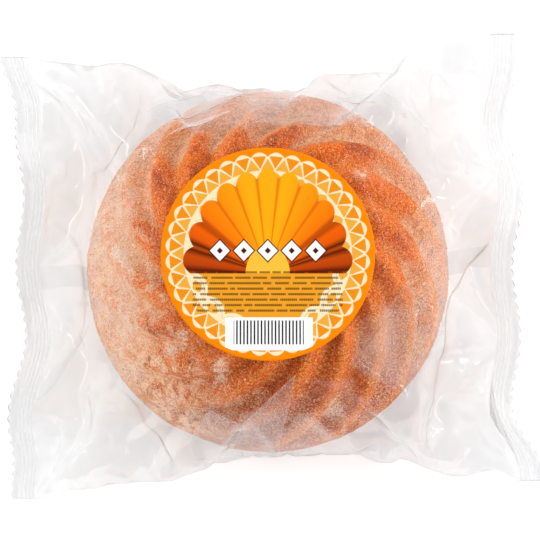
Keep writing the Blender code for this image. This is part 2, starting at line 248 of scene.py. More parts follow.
def settle(mesh):
    """List the faces in one fixed order, because a spin lists them in a new order each run."""
    points = [vert.co[:] for vert in mesh.vertices]
    faces = [list(face.vertices) for face in mesh.polygons]
    firsts = [corners.index(min(corners)) for corners in faces]
    turned = [corners[first:] + corners[:first] for corners, first in zip(faces, firsts)]
    mesh.clear_geometry()
    mesh.from_pydata(points, [], sorted(turned))
    return mesh


def read_points(mesh):
    points = np.empty(3 * len(mesh.vertices))
    mesh.vertices.foreach_get("co", points)
    return points.reshape(-1, 3)


def write_points(mesh, points):
    mesh.vertices.foreach_set("co", np.ascontiguousarray(points, dtype=float).ravel())
    mesh.update()


def store(mesh, name, values):
    """Keep one number for each point, for a material or a scatter to read."""
    layer = mesh.attributes.new(name, "FLOAT", "POINT")
    layer.data.foreach_set("value", np.asarray(values, dtype=np.float32))


def smooth_step(value, start, end):
    """0 before the start, 1 after the end, and an even curve between them."""
    share = np.clip((value - start) / (end - start), 0.0, 1.0)
    return share * share * (3.0 - 2.0 * share)


print("helpers for pieces are ready")

# %% Formulas as Math nodes
class Field:
    """A number that varies over a surface. Arithmetic on it lays out Math nodes."""

    def __init__(self, tree, socket):
        self.tree = tree
        self.socket = socket

    def node(self, operation, *others):
        step = self.tree.nodes.new("ShaderNodeMath")
        step.operation = operation
        for slot, item in zip(step.inputs, (self, *others)):
            if isinstance(item, Field):
                self.tree.links.new(item.socket, slot)
            else:
                slot.default_value = item
        return Field(self.tree, step.outputs[0])

    def __add__(self, other):
        return self.node("ADD", other)

    def __sub__(self, other):
        return self.node("SUBTRACT", other)

    def __mul__(self, other):
        return self.node("MULTIPLY", other)

    def __pow__(self, other):
        return self.node("POWER", other)

    def __neg__(self):
        return self * -1.0

    def __rsub__(self, other):
        return -self + other

    __radd__ = __add__
    __rmul__ = __mul__

    def clamped(self):
        limited = self.node("ADD", 0.0)
        limited.socket.node.use_clamp = True
        return limited

    def below(self, limit, soft):
        """1 where the value is below the limit, 0 above it, with a soft edge."""
        return ((limit - self) * (1.0 / soft) + 0.5).clamped()

    def above(self, limit, soft):
        """1 where the value is above the limit, 0 below it, with a soft edge."""
        return ((self - limit) * (1.0 / soft) + 0.5).clamped()


def new_finish(name):
    finish = bpy.data.materials.new(name)
    finish.use_nodes = True
    tree = finish.node_tree
    return finish, tree, tree.nodes["Principled BSDF"]


def place_of(tree):
    """The three Object coordinates in millimetres, and the vector itself."""
    where = tree.nodes.new("ShaderNodeTexCoord").outputs["Object"]
    split = tree.nodes.new("ShaderNodeSeparateXYZ")
    tree.links.new(where, split.inputs[0])
    return [Field(tree, out) * 1000.0 for out in split.outputs], where


def grain(tree, where, size, detail=2.0):
    """A cloudy noise from 0 to 1 whose blobs are about the given size."""
    cloud = tree.nodes.new("ShaderNodeTexNoise")
    tree.links.new(where, cloud.inputs["Vector"])
    cloud.inputs["Scale"].default_value = 1.0 / size
    cloud.inputs["Detail"].default_value = detail
    return Field(tree, cloud.outputs["Fac"])


def cells(tree, where, size):
    """Round grains of about the given size: a random number for each, and the way to its middle."""
    pattern = tree.nodes.new("ShaderNodeTexVoronoi")
    tree.links.new(where, pattern.inputs["Vector"])
    pattern.inputs["Scale"].default_value = 1.0 / size
    return Field(tree, pattern.outputs["Color"]), Field(tree, pattern.outputs["Distance"])


def stored(tree, name):
    """A number that was stored on the mesh under this name."""
    reader = tree.nodes.new("ShaderNodeAttribute")
    reader.attribute_name = name
    return Field(tree, reader.outputs["Fac"])


def colour(red, green, blue):
    """A screen colour from 0 to 255, as the light values that a shader wants."""
    shares = (value / 255.0 for value in (red, green, blue))
    return tuple(s / 12.92 if s <= 0.04045 else ((s + 0.055) / 1.055) ** 2.4 for s in shares) + (1.0,)


def paint(tree, under, over, mask):
    """Lay one colour over another where the mask is 1. Colours are tuples or sockets."""
    mix = tree.nodes.new("ShaderNodeMix")
    mix.data_type = "RGBA"
    tree.links.new(mask.socket, mix.inputs[0])
    for slot, item in ((mix.inputs[6], under), (mix.inputs[7], over)):
        if isinstance(item, tuple):
            slot.default_value = item
        else:
            tree.links.new(item, slot)
    return mix.outputs[2]


def relief(tree, shader, height, distance, strength):
    """Let a field raise the surface's shading by up to the given distance."""
    bump = tree.nodes.new("ShaderNodeBump")
    bump.inputs["Distance"].default_value = distance
    bump.inputs["Strength"].default_value = strength
    tree.links.new(height.socket, bump.inputs["Height"])
    tree.links.new(bump.outputs[0], shader.inputs["Normal"])


print("helpers for materials are ready")

# %% [markdown]
# ## The cake's body
#
# The cake is a ring from a fluted mould: sixteen rounded flutes spiral from the foot over the
# shoulder to the crown. It could be sculpted, or built from sixteen copies of one flute. Here its
# closed section is drawn as a few arcs and spun once round the axis, because that gives even
# quads with no pole. The points are then turned by a twist that grows with height and pushed
# inwards along each furrow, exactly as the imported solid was.

# %% The section of the ring
CAKE_SIDES = 384
OUTER_STEPS = 84
OUTER_SPACING = 0.9
CROWN_STEPS = 3
SHOULDER_STEPS = 12
WALL_STEPS = 14
FOOT_STEPS = 24
HOLE_TOP_RADIUS = 0.0185
HOLE_FOOT_RADIUS = 0.0155
INNER_CROWN_RADIUS = 0.033
INNER_SHOULDER_DROP = 0.017
FOOT_BEVEL = 0.0022
FOOT_BEVEL_RISE = 0.6


def crest_line(angle):
    """A point of the outer crest line: 0 is the foot's rim and a quarter turn the crown."""
    power = 2.0 / SHOULDER_POWER
    radius = CROWN_RADIUS + (FOOT_RADIUS - CROWN_RADIUS) * math.cos(angle) ** power
    return radius, CAKE_FLOOR + (CAKE_HEIGHT - CAKE_FLOOR) * math.sin(angle) ** power


def ring_section():
    """The closed outline of the ring's section, from the foot's rim upwards and round."""
    quarter = 0.5 * math.pi
    outer = [crest_line(quarter * (step / OUTER_STEPS) ** OUTER_SPACING) for step in range(OUTER_STEPS + 1)]
    points = [(FOOT_RADIUS - FOOT_BEVEL, CAKE_FLOOR)]
    points += [point for point in outer if point[1] > CAKE_FLOOR + FOOT_BEVEL_RISE * FOOT_BEVEL]
    drop = INNER_SHOULDER_DROP
    reach = INNER_CROWN_RADIUS - HOLE_TOP_RADIUS
    for step in range(CROWN_STEPS):
        inwards = (INNER_CROWN_RADIUS - CROWN_RADIUS) * (step + 1) / CROWN_STEPS
        points.append((CROWN_RADIUS + inwards, CAKE_HEIGHT))
    for step in range(1, SHOULDER_STEPS + 1):
        angle = quarter * step / SHOULDER_STEPS
        points.append((INNER_CROWN_RADIUS - reach * math.sin(angle),
                       CAKE_HEIGHT - drop * (1.0 - math.cos(angle))))
    wall_top = CAKE_HEIGHT - drop
    for step in range(1, WALL_STEPS + 1):
        share = step / WALL_STEPS
        points.append((HOLE_TOP_RADIUS + (HOLE_FOOT_RADIUS - HOLE_TOP_RADIUS) * share,
                       wall_top + (CAKE_FLOOR + FOOT_BEVEL - wall_top) * share))
    for step in range(FOOT_STEPS):
        share = step / FOOT_STEPS
        points.append((HOLE_FOOT_RADIUS + FOOT_BEVEL
                       + (FOOT_RADIUS - 2.0 * FOOT_BEVEL - HOLE_FOOT_RADIUS) * share, CAKE_FLOOR))
    return points


def spin_ring(points):
    """Spin the section once round the axis and join its end to its start."""
    bm = bmesh.new()
    verts = [bm.verts.new((radius, 0.0, height)) for radius, height in points]
    edges = [bm.edges.new(pair) for pair in zip(verts, verts[1:] + verts[:1])]
    bmesh.ops.spin(
        bm, geom=verts + edges, cent=(0, 0, 0), axis=(0, 0, 1), angle=TURN,
        steps=CAKE_SIDES, use_merge=True)
    bmesh.ops.remove_doubles(bm, verts=bm.verts, dist=1e-6)
    bmesh.ops.recalc_face_normals(bm, faces=bm.faces)
    return settle(to_mesh("cake", bm))


cake_mesh = spin_ring(ring_section())
print("ring of", len(cake_mesh.polygons), "faces")

# %% Twist and flutes
FLUTES = 16
FLUTE_DEPTH = 0.0055
FURROW_POWER = 2.2
FLUTE_PITCH_TANGENT = 0.75
FLUTE_PHASE = math.radians(4.0)
PHASE_HEIGHT = 0.060
FLUTE_FADE_INSIDE = 0.004
FLUTE_START_HEIGHTS = (0.010, 0.036)
TWIST_STEPS = 400


def twist_table():
    """Heights and turns of a crest line that keeps a constant angle to the meridians."""
    steps = range(TWIST_STEPS + 1)
    crest = np.array([crest_line(0.5 * math.pi * step / TWIST_STEPS) for step in steps])
    lengths = np.hypot(*np.diff(crest, axis=0).T)
    middles = 0.5 * (crest[1:, 0] + crest[:-1, 0])
    turns = np.concatenate(([0.0], np.cumsum(FLUTE_PITCH_TANGENT * lengths / middles)))
    return crest[:, 1], turns


def clouds(points, size, octaves=3):
    """Smooth seeded noise about zero, for each point."""
    return np.array([noise.fractal(Vector(point) / size, 1.0, 2.0, octaves) for point in points])


def flute(points):
    """Turn and sink the points of the plain ring. Returns them with how deep each one lies."""
    radius = np.hypot(points[:, 0], points[:, 1])
    angle = np.arctan2(points[:, 1], points[:, 0])
    height = points[:, 2]
    heights, turns = twist_table()
    outside = smooth_step(radius, INNER_CROWN_RADIUS - FLUTE_FADE_INSIDE, CROWN_RADIUS)
    turned = angle + FLUTE_PHASE + np.interp(height, heights, turns)
    turned = turned - np.interp(PHASE_HEIGHT, heights, turns)
    furrow = np.abs(np.sin(0.5 * FLUTES * angle)) ** FURROW_POWER
    depth = FLUTE_DEPTH * smooth_step(height, *FLUTE_START_HEIGHTS) * outside
    across = np.stack(((radius - CROWN_RADIUS) / (FOOT_RADIUS - CROWN_RADIUS), height / CAKE_HEIGHT))
    across /= np.maximum(np.linalg.norm(across, axis=0), 1e-9)
    sunk = depth * furrow
    radius = radius - sunk * np.maximum(across[0], 0.0)
    height = height - sunk * across[1]
    fluted = np.stack((radius * np.cos(turned), radius * np.sin(turned), height), axis=1)
    return fluted, furrow * outside


cake_points, furrow = flute(read_points(cake_mesh))
print("flutes sink up to", round(1000 * FLUTE_DEPTH, 1), "mm")

# %% [markdown]
# A baked and sugared crust is never as regular as its mould. Three layers of noise are added
# along the surface's own direction: slow swells a few centimetres wide, dimples of a few
# millimetres, and a coarse sandy grain. The finest grain is left to the material's relief.

# %% Uneven crust
# The size of each layer's bumps, and how far they rise
SWELL = (0.022, 0.0008)
DIMPLES = (0.0060, 0.00035)
SAND = (0.0022, 0.00022)
CALM_AT_FOOT = 0.004
CALM_AT_CROWN = 0.0025
OUTWARD_SHARE = 0.6


def roughen(mesh, points):
    """Points moved along the surface's own direction, less near the foot and the crown."""
    write_points(mesh, points)
    normals = np.empty(3 * len(mesh.vertices))
    mesh.vertex_normals.foreach_get("vector", normals)
    lift = sum(amount * clouds(points, size, 2) for size, amount in (SWELL, DIMPLES, SAND))
    keep = smooth_step(points[:, 2], CAKE_FLOOR, CAKE_FLOOR + CALM_AT_FOOT)
    below_top = 1.0 - smooth_step(points[:, 2], CAKE_HEIGHT - CALM_AT_CROWN, CAKE_HEIGHT)
    lift = np.minimum(lift, 0.0) + np.maximum(lift, 0.0) * OUTWARD_SHARE * below_top
    return points + normals.reshape(-1, 3) * (lift * keep)[:, None]


cake_points = roughen(cake_mesh, cake_points)
write_points(cake_mesh, cake_points)
store(cake_mesh, "furrow", furrow)
print("cake", np.round(cake_points.min(axis=0), 4), np.round(cake_points.max(axis=0), 4))

# %% [markdown]
# ## Where the film lies on the crust
#
# Fat from the dough wets the sugar wherever the film presses on it, and wet sugar turns clear. So
# the cake is a deep orange inside a square with very round corners, the patch that the taut film
# touches, and pale and dusty outside it. In one spot at the front a pleat holds the film off, and
# the crust stays dry there too. This could be guessed from height alone, but the square would be
# missing, so the patch is worked out once for each point and stored on the mesh.

# %% The patch that the film touches
TOUCH_REACH = 0.0585
TOUCH_EDGE = 0.0025
TOUCH_WOBBLE = 0.0050
TOUCH_WOBBLE_SIZE = 0.016
TOUCH_LOSS_IN_FURROWS = 0.010
TOUCH_MIDDLE = (0.003, -0.004)
LOOSE_MIDDLE = (0.052, -0.036)
LOOSE_RADIUS = 0.020
LOOSE_CORE = 0.6


def film_touch(points, furrow=0.0):
    """1 where the film lies on the crust, 0 where it stands off."""
    across, along = points[:, 0] - TOUCH_MIDDLE[0], points[:, 1] - TOUCH_MIDDLE[1]
    square = (across ** 4 + along ** 4) ** 0.25
    wobble = TOUCH_WOBBLE * clouds(points, TOUCH_WOBBLE_SIZE, 2)
    reach = square + wobble + TOUCH_LOSS_IN_FURROWS * furrow
    loose = np.hypot(points[:, 0] - LOOSE_MIDDLE[0], points[:, 1] - LOOSE_MIDDLE[1])
    patch = 1.0 - smooth_step(reach, TOUCH_REACH - TOUCH_EDGE, TOUCH_REACH + TOUCH_EDGE)
    return patch * smooth_step(loose, LOOSE_CORE * LOOSE_RADIUS, LOOSE_RADIUS)


touch = film_touch(cake_points, furrow)
store(cake_mesh, "touch", touch)
print("the film touches", round(100 * touch.mean()), "percent of the points")

# %% [markdown]
# ## Where sugar has gathered
#
# A few places carry a small heap of sugar, most of them at the left, where the bag was shaken.
# Each is a soft spot with a place and a size. The same spots lighten the crust's colour and draw
# more grains later, so colour and grains agree.

# %% Spots of gathered sugar
# Place across and along in millimetres, and radius
SUGAR_SPOTS = (
    (-35.5, -33.9, 4.5),
    (-41.0, -38.5, 4.0),
    (-19.5, -44.0, 3.5),
    (-19.0, -50.5, 4.5),
    (-63.5, 38.0, 6.0),
    (-55.0, 48.0, 5.0),
    (-62.0, 2.0, 7.0),
    (-57.0, -24.0, 7.0),
    (28.0, -62.0, 5.0),
    (38.0, 34.0, 4.0),
)
HEAP_BREAKUP = 1.2
HEAP_BREAKUP_SIZE = 0.0025
HEAP_SPAN = (0.25, 1.3)


def gathered(points):
    """How much sugar has gathered at each point, broken up by a fine noise."""
    across, along = 1000.0 * points[:, 0], 1000.0 * points[:, 1]
    spots = sum(
        np.exp(-((across - x) ** 2 + (along - y) ** 2) / size ** 2)
        for x, y, size in SUGAR_SPOTS)
    broken = 1.0 + HEAP_BREAKUP * clouds(points, HEAP_BREAKUP_SIZE, 2)
    return smooth_step(spots * broken, *HEAP_SPAN)


heaps = gathered(cake_points)
store(cake_mesh, "heaps", heaps)
print("sugar has gathered on", round(100 * heaps.mean(), 1), "percent of the points")

# %% [markdown]
# ## The crust's material
#
# The crust is covered in fine sugar and crumb that looks like coarse sand. It is a deep orange
# where the film wets it, pale and pink towards the foot and dustiest at the left. Painted shade
# darkens it along the front edge, and in the front half painted shade darkens its furrows and a
# painted highlight lightens its ridges. Painting it as an image would fix it to one resolution,
# so it is mixed from noises on Object coordinates. A cell pattern makes the grains: each cell has
# a random number, so some are light, some are dark pits, and the distance to a cell's middle
# domes them. Thin cracks are painted shade too.

# %% Colours of the crust
WET_RIDGE = colour(255, 114, 0)
WET_FURROW = colour(250, 132, 28)
WET_DARK = colour(196, 70, 0)
DRY_RIDGE = colour(244, 132, 46)
DRY_FURROW = colour(238, 174, 136)
DRY_DARK = colour(190, 102, 52)
DRY_FOOT = colour(238, 204, 198)
# Painted shade along the front edge, which is less lit
FRONT_SHADE = colour(190, 72, 0)
# Painted shade for the furrows and a painted highlight for the ridges
FURROW_SHADE = colour(164, 60, 4)
RIDGE_HIGHLIGHT = colour(255, 154, 64)
DUST = colour(255, 212, 178)
SPECK = colour(142, 52, 8)
PIT = colour(126, 62, 28)
GRIT = colour(255, 190, 122)
FINE_SUGAR = colour(255, 214, 170)
HEAPED_SUGAR = colour(255, 234, 212)
# Painted shade in the gap of each crack
CRACK_SHADE = colour(112, 52, 20)

print("wet ridge", np.round(WET_RIDGE, 3), "and dry ridge", np.round(DRY_RIDGE, 3))

# %% What the colour depends on
PATCH_SIZE = 0.013
BROAD_SIZE = 0.030
BLOT_SIZE = 0.0045
CELL_SIZE = 0.0009
SPECK_SIZE = 0.0006


def crust_fields(tree):
    """Noises, stored numbers and regions of the crust. Lengths in them are in millimetres."""
    (x, y, z), where = place_of(tree)
    crust = SimpleNamespace(x=x, y=y)
    crust.furrow = stored(tree, "furrow")
    crust.touch = stored(tree, "touch")
    crust.heaps = stored(tree, "heaps")
    crust.patches = grain(tree, where, PATCH_SIZE)
    crust.broad = grain(tree, where, BROAD_SIZE, 1.0)
    crust.blots = grain(tree, where, BLOT_SIZE)
    crust.tone, crust.middle = cells(tree, where, CELL_SIZE)
    crust.sand = grain(tree, where, SPECK_SIZE, 3.0)
    crust.front = (x * 0.1 - y + crust.broad * 24.0).above(61.0, 22.0)
    crust.dusty = (x * -0.92 - y * 0.38 + crust.broad * 30.0).above(59.0, 30.0)
    crust.foot = z.below(30.0, 30.0)
    crust.lower = (x * 0.5 - y).above(25.0, 50.0)
    crust.ridge = crust.furrow.below(0.10, 0.2)
    return crust


print("noises from", 1000 * SPECK_SIZE, "to", 1000 * BROAD_SIZE, "mm")

# %% Baked crust, wet and dry, and painted shade at the front
def baked_crust_and_front_shade(tree, crust):
    """The crust's own colours, wet where the film touches it, and painted shade at the front."""
    furrow, patches, blots = crust.furrow, crust.patches, crust.blots
    wet = paint(tree, WET_RIDGE, WET_FURROW, furrow * 0.9)
    wet = paint(tree, wet, WET_DARK, (patches - furrow * 0.25).above(0.53, 0.18))
    dry = paint(tree, DRY_RIDGE, DRY_FURROW, (furrow + patches - 0.5).clamped())
    dry = paint(tree, dry, DRY_DARK, (blots + patches * 0.4).above(0.78, 0.16) * 0.6)
    dry = paint(tree, dry, DRY_FOOT, crust.foot * crust.broad.above(0.42, 0.3) * 0.85)
    base = paint(tree, dry, wet, crust.touch)
    # Painted shade: the less lit front edge is darkened
    return paint(tree, base, FRONT_SHADE, crust.front * 0.88)


def flute_shade_and_highlight(tree, crust, base):
    """Painted furrow shade and ridge highlights in the front half, where the light comes flatter."""
    shade = 0.15 + crust.touch * 0.35 + crust.front * 0.2
    # Painted shade darkens the furrows and a painted highlight lightens the ridges
    base = paint(tree, base, FURROW_SHADE, crust.furrow * crust.lower * shade)
    return paint(tree, base, RIDGE_HIGHLIGHT, crust.ridge * crust.lower * 0.4)


def sugared_crust(tree, crust, base):
    """Dust, dark specks and pits, and light grit, fine sugar and heaps."""
    touch, dusty, sand = crust.touch, crust.dusty, crust.sand
    base = paint(tree, base, DUST, dusty * (0.10 + crust.blots.above(0.52, 0.15) * 0.85))
    specks = 0.40 + touch * 0.18 - dusty * 0.10
    base = paint(tree, base, SPECK, sand.below(0.47, 0.16) * specks)
    base = paint(tree, base, PIT, crust.tone.below(0.16, 0.1) * (0.35 + crust.foot * 0.35))
    base = paint(tree, base, GRIT, crust.tone.above(0.68, 0.2) * (0.4 - touch * 0.12))
    fine = 0.62 + dusty * 0.3 - touch * 0.38
    base = paint(tree, base, FINE_SUGAR, sand.above(0.57, 0.10) * fine)
    return paint(tree, base, HEAPED_SUGAR, crust.heaps * (0.15 + sand.above(0.50, 0.16) * 0.7))


print("crust is ready to be mixed")

# %% Cracks and the whole crust
# The middle of each crack across and along, and half its length, in millimetres
CRACKS = (
    ((63.4, -23.0), 5.0),
    ((70.0, 5.5), 1.5),
)
CRACK_WANDER = 5.0
CRACK_HALF_WIDTH = 0.22
CRUST_ROUGHNESS = 0.75
CRUST_SHINE = 0.08
CELL_RELIEF = 0.0006
CELL_RELIEF_STRENGTH = 0.6


def crack(crust, middle, half_length):
    """A thin crack along the flutes, with a wandering course."""
    aside = (crust.x - middle[0] + (crust.blots - 0.5) * CRACK_WANDER).node("ABSOLUTE")
    reach = (crust.y - middle[1]).node("ABSOLUTE")
    return aside.below(CRACK_HALF_WIDTH, 0.3) * reach.below(half_length, 1.5)


def crust_finish():
    finish, tree, shader = new_finish("cake_crust")
    crust = crust_fields(tree)
    base = baked_crust_and_front_shade(tree, crust)
    base = flute_shade_and_highlight(tree, crust, base)
    base = sugared_crust(tree, crust, base)
    long_crack, short_crack = (crack(crust, *measures) for measures in CRACKS)
    # The cracks have no depth in the mesh, so their gaps are painted shade
    base = paint(tree, base, CRACK_SHADE, (long_crack + short_crack) * 0.85)
    tree.links.new(base, shader.inputs["Base Color"])
    shader.inputs["Roughness"].default_value = CRUST_ROUGHNESS
    shader.inputs["Specular IOR Level"].default_value = CRUST_SHINE
    relief(tree, shader, 1.0 - crust.middle, CELL_RELIEF, CELL_RELIEF_STRENGTH)
    return finish


cake = make_piece("cake", cake_mesh, crust_finish())
print("cake of", len(cake.data.polygons), "faces")

# %% [markdown]
# ## Sugar
#
# Coarse sugar sticks to the crust as single glassy grains and as small clumps. Grains that are a
# material only would be flat from the side, so they are real cubes. Placing thousands by hand or
# by particles is out: particles don't survive an export. Geometry Nodes scatters points over
# the cake, puts a tiny cube on each, and realizes the copies into one plain mesh.

# %% Where sugar lies
SUGAR_SHARE_IN_FURROWS = 0.45
SUGAR_LOSS_WHEN_WET = 0.4
SUGAR_START_RADII = (0.038, 0.044)
SUGAR_START_HEIGHTS = (0.002, 0.008)
CLUMP_SIZE = 0.007
CLUMP_SPAN = (0.25, 0.75)
CLUMP_SHARE = 1.6
BARE_SIZE = 0.02
BARE_SPAN = (-0.4, 0.4)
HEAP_SHARE = 3.5


def sugar_cover(points, furrow, touch):
    """How much sugar lies at each point: an uneven cover, clumps and heaps."""
    outside = smooth_step(np.hypot(points[:, 0], points[:, 1]), *SUGAR_START_RADII)
    above = smooth_step(points[:, 2], *SUGAR_START_HEIGHTS)
    clumps = smooth_step(clouds(points, CLUMP_SIZE, 2), *CLUMP_SPAN)
    patches = 0.5 + 0.5 * smooth_step(clouds(points, BARE_SIZE, 1), *BARE_SPAN)
    even = (1.0 - (1.0 - SUGAR_SHARE_IN_FURROWS) * furrow) * patches
    even = even * (1.0 - SUGAR_LOSS_WHEN_WET * touch)
    return outside * above * (even + CLUMP_SHARE * clumps + HEAP_SHARE * gathered(points))


store(cake.data, "sugar", sugar_cover(cake_points, furrow, touch))
print("sugar cover stored for", len(cake.data.vertices), "points")

# %% Scatter
GRAIN_SIDES = (1.0, 0.8, 0.9)
SMALLEST_GRAIN = 0.55
LARGEST_GRAIN = 1.35


def scatter(name, carrier, layer, density, grain_size, seed):
    """Cubes of an uneven size and turn over a mesh, more where the layer's value is high."""
    group = bpy.data.node_groups.new(name, "GeometryNodeTree")
    group.interface.new_socket("Geometry", in_out="INPUT", socket_type="NodeSocketGeometry")
    group.interface.new_socket("Geometry", in_out="OUTPUT", socket_type="NodeSocketGeometry")
    nodes, links = group.nodes, group.links
    start = nodes.new("NodeGroupInput")
    cover = nodes.new("GeometryNodeInputNamedAttribute")
    cover.data_type = "FLOAT"
    cover.inputs["Name"].default_value = layer
    amount = nodes.new("ShaderNodeMath")
    amount.operation = "MULTIPLY"
    amount.inputs[1].default_value = density
    spread = nodes.new("GeometryNodeDistributePointsOnFaces")
    spread.inputs["Seed"].default_value = seed
    cube = nodes.new("GeometryNodeMeshCube")
    cube.inputs["Size"].default_value = [side * grain_size for side in GRAIN_SIDES]
    turn = nodes.new("FunctionNodeRandomValue")
    turn.data_type = "FLOAT_VECTOR"
    turn.inputs["Max"].default_value = (TURN, TURN, TURN)
    scale = nodes.new("FunctionNodeRandomValue")
    scale.data_type = "FLOAT"
    scale.inputs[2].default_value = SMALLEST_GRAIN
    scale.inputs[3].default_value = LARGEST_GRAIN
    copies = nodes.new("GeometryNodeInstanceOnPoints")
    solid = nodes.new("GeometryNodeRealizeInstances")
    end = nodes.new("NodeGroupOutput")
    links.new(start.outputs[0], spread.inputs["Mesh"])
    links.new(cover.outputs["Attribute"], amount.inputs[0])
    links.new(amount.outputs[0], spread.inputs["Density"])
    links.new(spread.outputs["Points"], copies.inputs["Points"])
    links.new(cube.outputs["Mesh"], copies.inputs["Instance"])
    links.new(turn.outputs["Value"], copies.inputs["Rotation"])
    links.new(scale.outputs[1], copies.inputs["Scale"])
    links.new(copies.outputs["Instances"], solid.inputs["Geometry"])
    links.new(solid.outputs["Geometry"], end.inputs[0])
    holder = bpy.data.objects.new(name, carrier.data.copy())
    bpy.context.scene.collection.objects.link(holder)
    holder.modifiers.new("scatter", "NODES").node_group = group
    depsgraph = bpy.context.evaluated_depsgraph_get()
    mesh = bpy.data.meshes.new_from_object(holder.evaluated_get(depsgraph))
    mesh.name = name
    bpy.data.objects.remove(holder, do_unlink=True)
    return mesh


GRAIN_SIZE = 0.00050
GRAINS_PER_SQUARE_METRE = 2.6e5
GRAIN_SEED = 4

sugar_mesh = scatter("sugar_grains", cake, "sugar", GRAINS_PER_SQUARE_METRE, GRAIN_SIZE, GRAIN_SEED)
print("sugar grains", len(sugar_mesh.polygons) // 6)

# %% Sugar's material
SYRUPY_GRAIN = colour(244, 154, 76)
CLEAR_GRAIN = colour(255, 214, 166)
WHITE_GRAIN = colour(255, 238, 216)
TONE_SIZE = 0.0009


def sugar_finish():
    """Grains tinted by the crust under them, single ones light and heaped ones white."""
    finish, tree, shader = new_finish("sugar")
    where = place_of(tree)[1]
    tone = grain(tree, where, TONE_SIZE, 0.0)
    tint = paint(tree, SYRUPY_GRAIN, CLEAR_GRAIN, tone.above(0.58, 0.2))
    tint = paint(tree, tint, WHITE_GRAIN, stored(tree, "heaps"))
    tree.links.new(tint, shader.inputs["Base Color"])
    shader.inputs["Roughness"].default_value = 0.45
    shader.inputs["Specular IOR Level"].default_value = 0.25
    return finish


sugar = make_piece("sugar_grains", sugar_mesh, sugar_finish())
sugar.data.shade_flat()
print("sugar is", sugar.data.materials[0].name)

# %% [markdown]
# ## The film, as a packing machine makes it
#
# A flow-wrap starts as one flat web of film. The machine folds it round the cake into a tube,
# welds the two long edges underneath, then crimps the tube flat at both ends and cuts it in a
# zigzag. Film bends easily but hardly stretches, so the way from a round cake to two straight
# seals forces it into sharp, flat facets. Blender's cloth would stretch and sag like fabric, and
# facets drawn by hand look drawn. So the tube is a net of threads that may not stretch, drawn
# taut round the cake: numpy moves all its points at once, which takes well under a minute. The
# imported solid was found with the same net, so the two agree.

# %% The two seal lines
SEAL_WAVE_TURNS = 6.0
SEAL_WAVE_SHIFT = 0.9
SEAL_WAVE_LIMIT = 0.02
SEAL_RIPPLE = 0.0025
SEAL_RIPPLE_TURNS = 9.5
SEAL_RIPPLE_SHIFT = -1.3
SEAL_SAMPLES = 801
HALVINGS = 30
CORNER_SPAN = 0.030

# How far each corner flares outwards and rises: the end, the side, the flare, the rise
CORNERS = (
    (-1, 1, 0.0100, 0.006),
    (-1, -1, 0.0035, -0.004),
    (1, 1, 0.0005, 0.003),
    (1, -1, 0.0100, -0.003),
)


def seal_curve(end, share, wave_height):
    """Points of a seal's inner line, for shares of its span from 1 at +Y to -1 at -Y."""
    flares = {side: (flare, rise) for which, side, flare, rise in CORNERS if which == end}
    flare = np.where(share > 0, flares[1][0], flares[-1][0])
    rise = np.where(share > 0, flares[1][1], flares[-1][1])
    near = 1.0 - smooth_step(SEAL_HALF_SPAN * (1.0 - np.abs(share)), 0.0, CORNER_SPAN)
    wave = np.sin(SEAL_WAVE_TURNS * share + SEAL_WAVE_SHIFT * end)
    ripple = np.sin(SEAL_RIPPLE_TURNS * share + SEAL_RIPPLE_SHIFT * end) * (1.0 - near)
    return np.stack((
        end * (SEAL_REACH + flare * near + SEAL_RIPPLE * ripple),
        SEAL_HALF_SPAN * share + end * SEAL_SKEW,
        SEAL_HEIGHT + rise * near + wave_height * wave), axis=-1)


def seal_points(end, count):
    """Evenly spaced points on the seal line, waved just enough to take up half the girth."""
    low, high = 0.0, SEAL_WAVE_LIMIT
    share = np.linspace(1.0, -1.0, SEAL_SAMPLES)
    for _ in range(HALVINGS):
        middle = 0.5 * (low + high)
        line = seal_curve(end, share, middle)
        length = np.linalg.norm(np.diff(line, axis=0), axis=1).sum()
        low, high = (middle, high) if length < 0.5 * TUBE_GIRTH else (low, middle)
    arc = np.concatenate(([0.0], np.cumsum(np.linalg.norm(np.diff(line, axis=0), axis=1))))
    wanted = np.linspace(0.0, arc[-1], count)
    return np.stack([np.interp(wanted, arc, line[:, axis]) for axis in range(3)], axis=-1)


left_seal = seal_points(-1, 3).round(4)
print("left seal's line from", left_seal[0], "to", left_seal[2])

# %% The first shape of the tube
NET_ROWS = 45
NET_SIDES = 80
SWELL_POWER = 3


def first_net():
    """Rows of points from the left seal to the right one, and which layer each column is on."""
    half = NET_SIDES // 2
    column = np.arange(NET_SIDES)
    layer = np.where(column % half == 0, 0, np.where(column < half, 1, -1))
    folded = np.concatenate((np.arange(half + 1), np.arange(half - 1, 0, -1)))
    left = seal_points(-1, half + 1)[folded]
    right = seal_points(1, half + 1)[folded]
    share = 1.0 - 2.0 * folded / half
    net = np.zeros((NET_ROWS, NET_SIDES, 3))
    for row, along in enumerate(np.linspace(-1.0, 1.0, NET_ROWS)):
        line = left + (right - left) * 0.5 * (along + 1.0)
        swell = 1.0 - abs(along) ** SWELL_POWER
        lift = swell * (CAKE_HEIGHT - line[:, 2])
        top = line[:, 2] + lift * np.minimum(1.0, 2.0 - 2.0 * np.abs(share))
        side = np.where(layer < 0, line[:, 2] * (1.0 - swell), line[:, 2])
        net[row] = np.stack((line[:, 0], line[:, 1], np.where(layer > 0, top, side)), axis=-1)
    net[0, :, 2] = left[:, 2] + layer * SEAL_HALF_THICKNESS
    net[-1, :, 2] = right[:, 2] + layer * SEAL_HALF_THICKNESS
    return net, layer


net, layer = first_net()
print("net of", net.shape[0], "rows and", net.shape[1], "columns")

# %% Keeping the film outside the cake and its two layers apart
SLIP_REACH = 1.5
EVEN_ROUNDS = 60


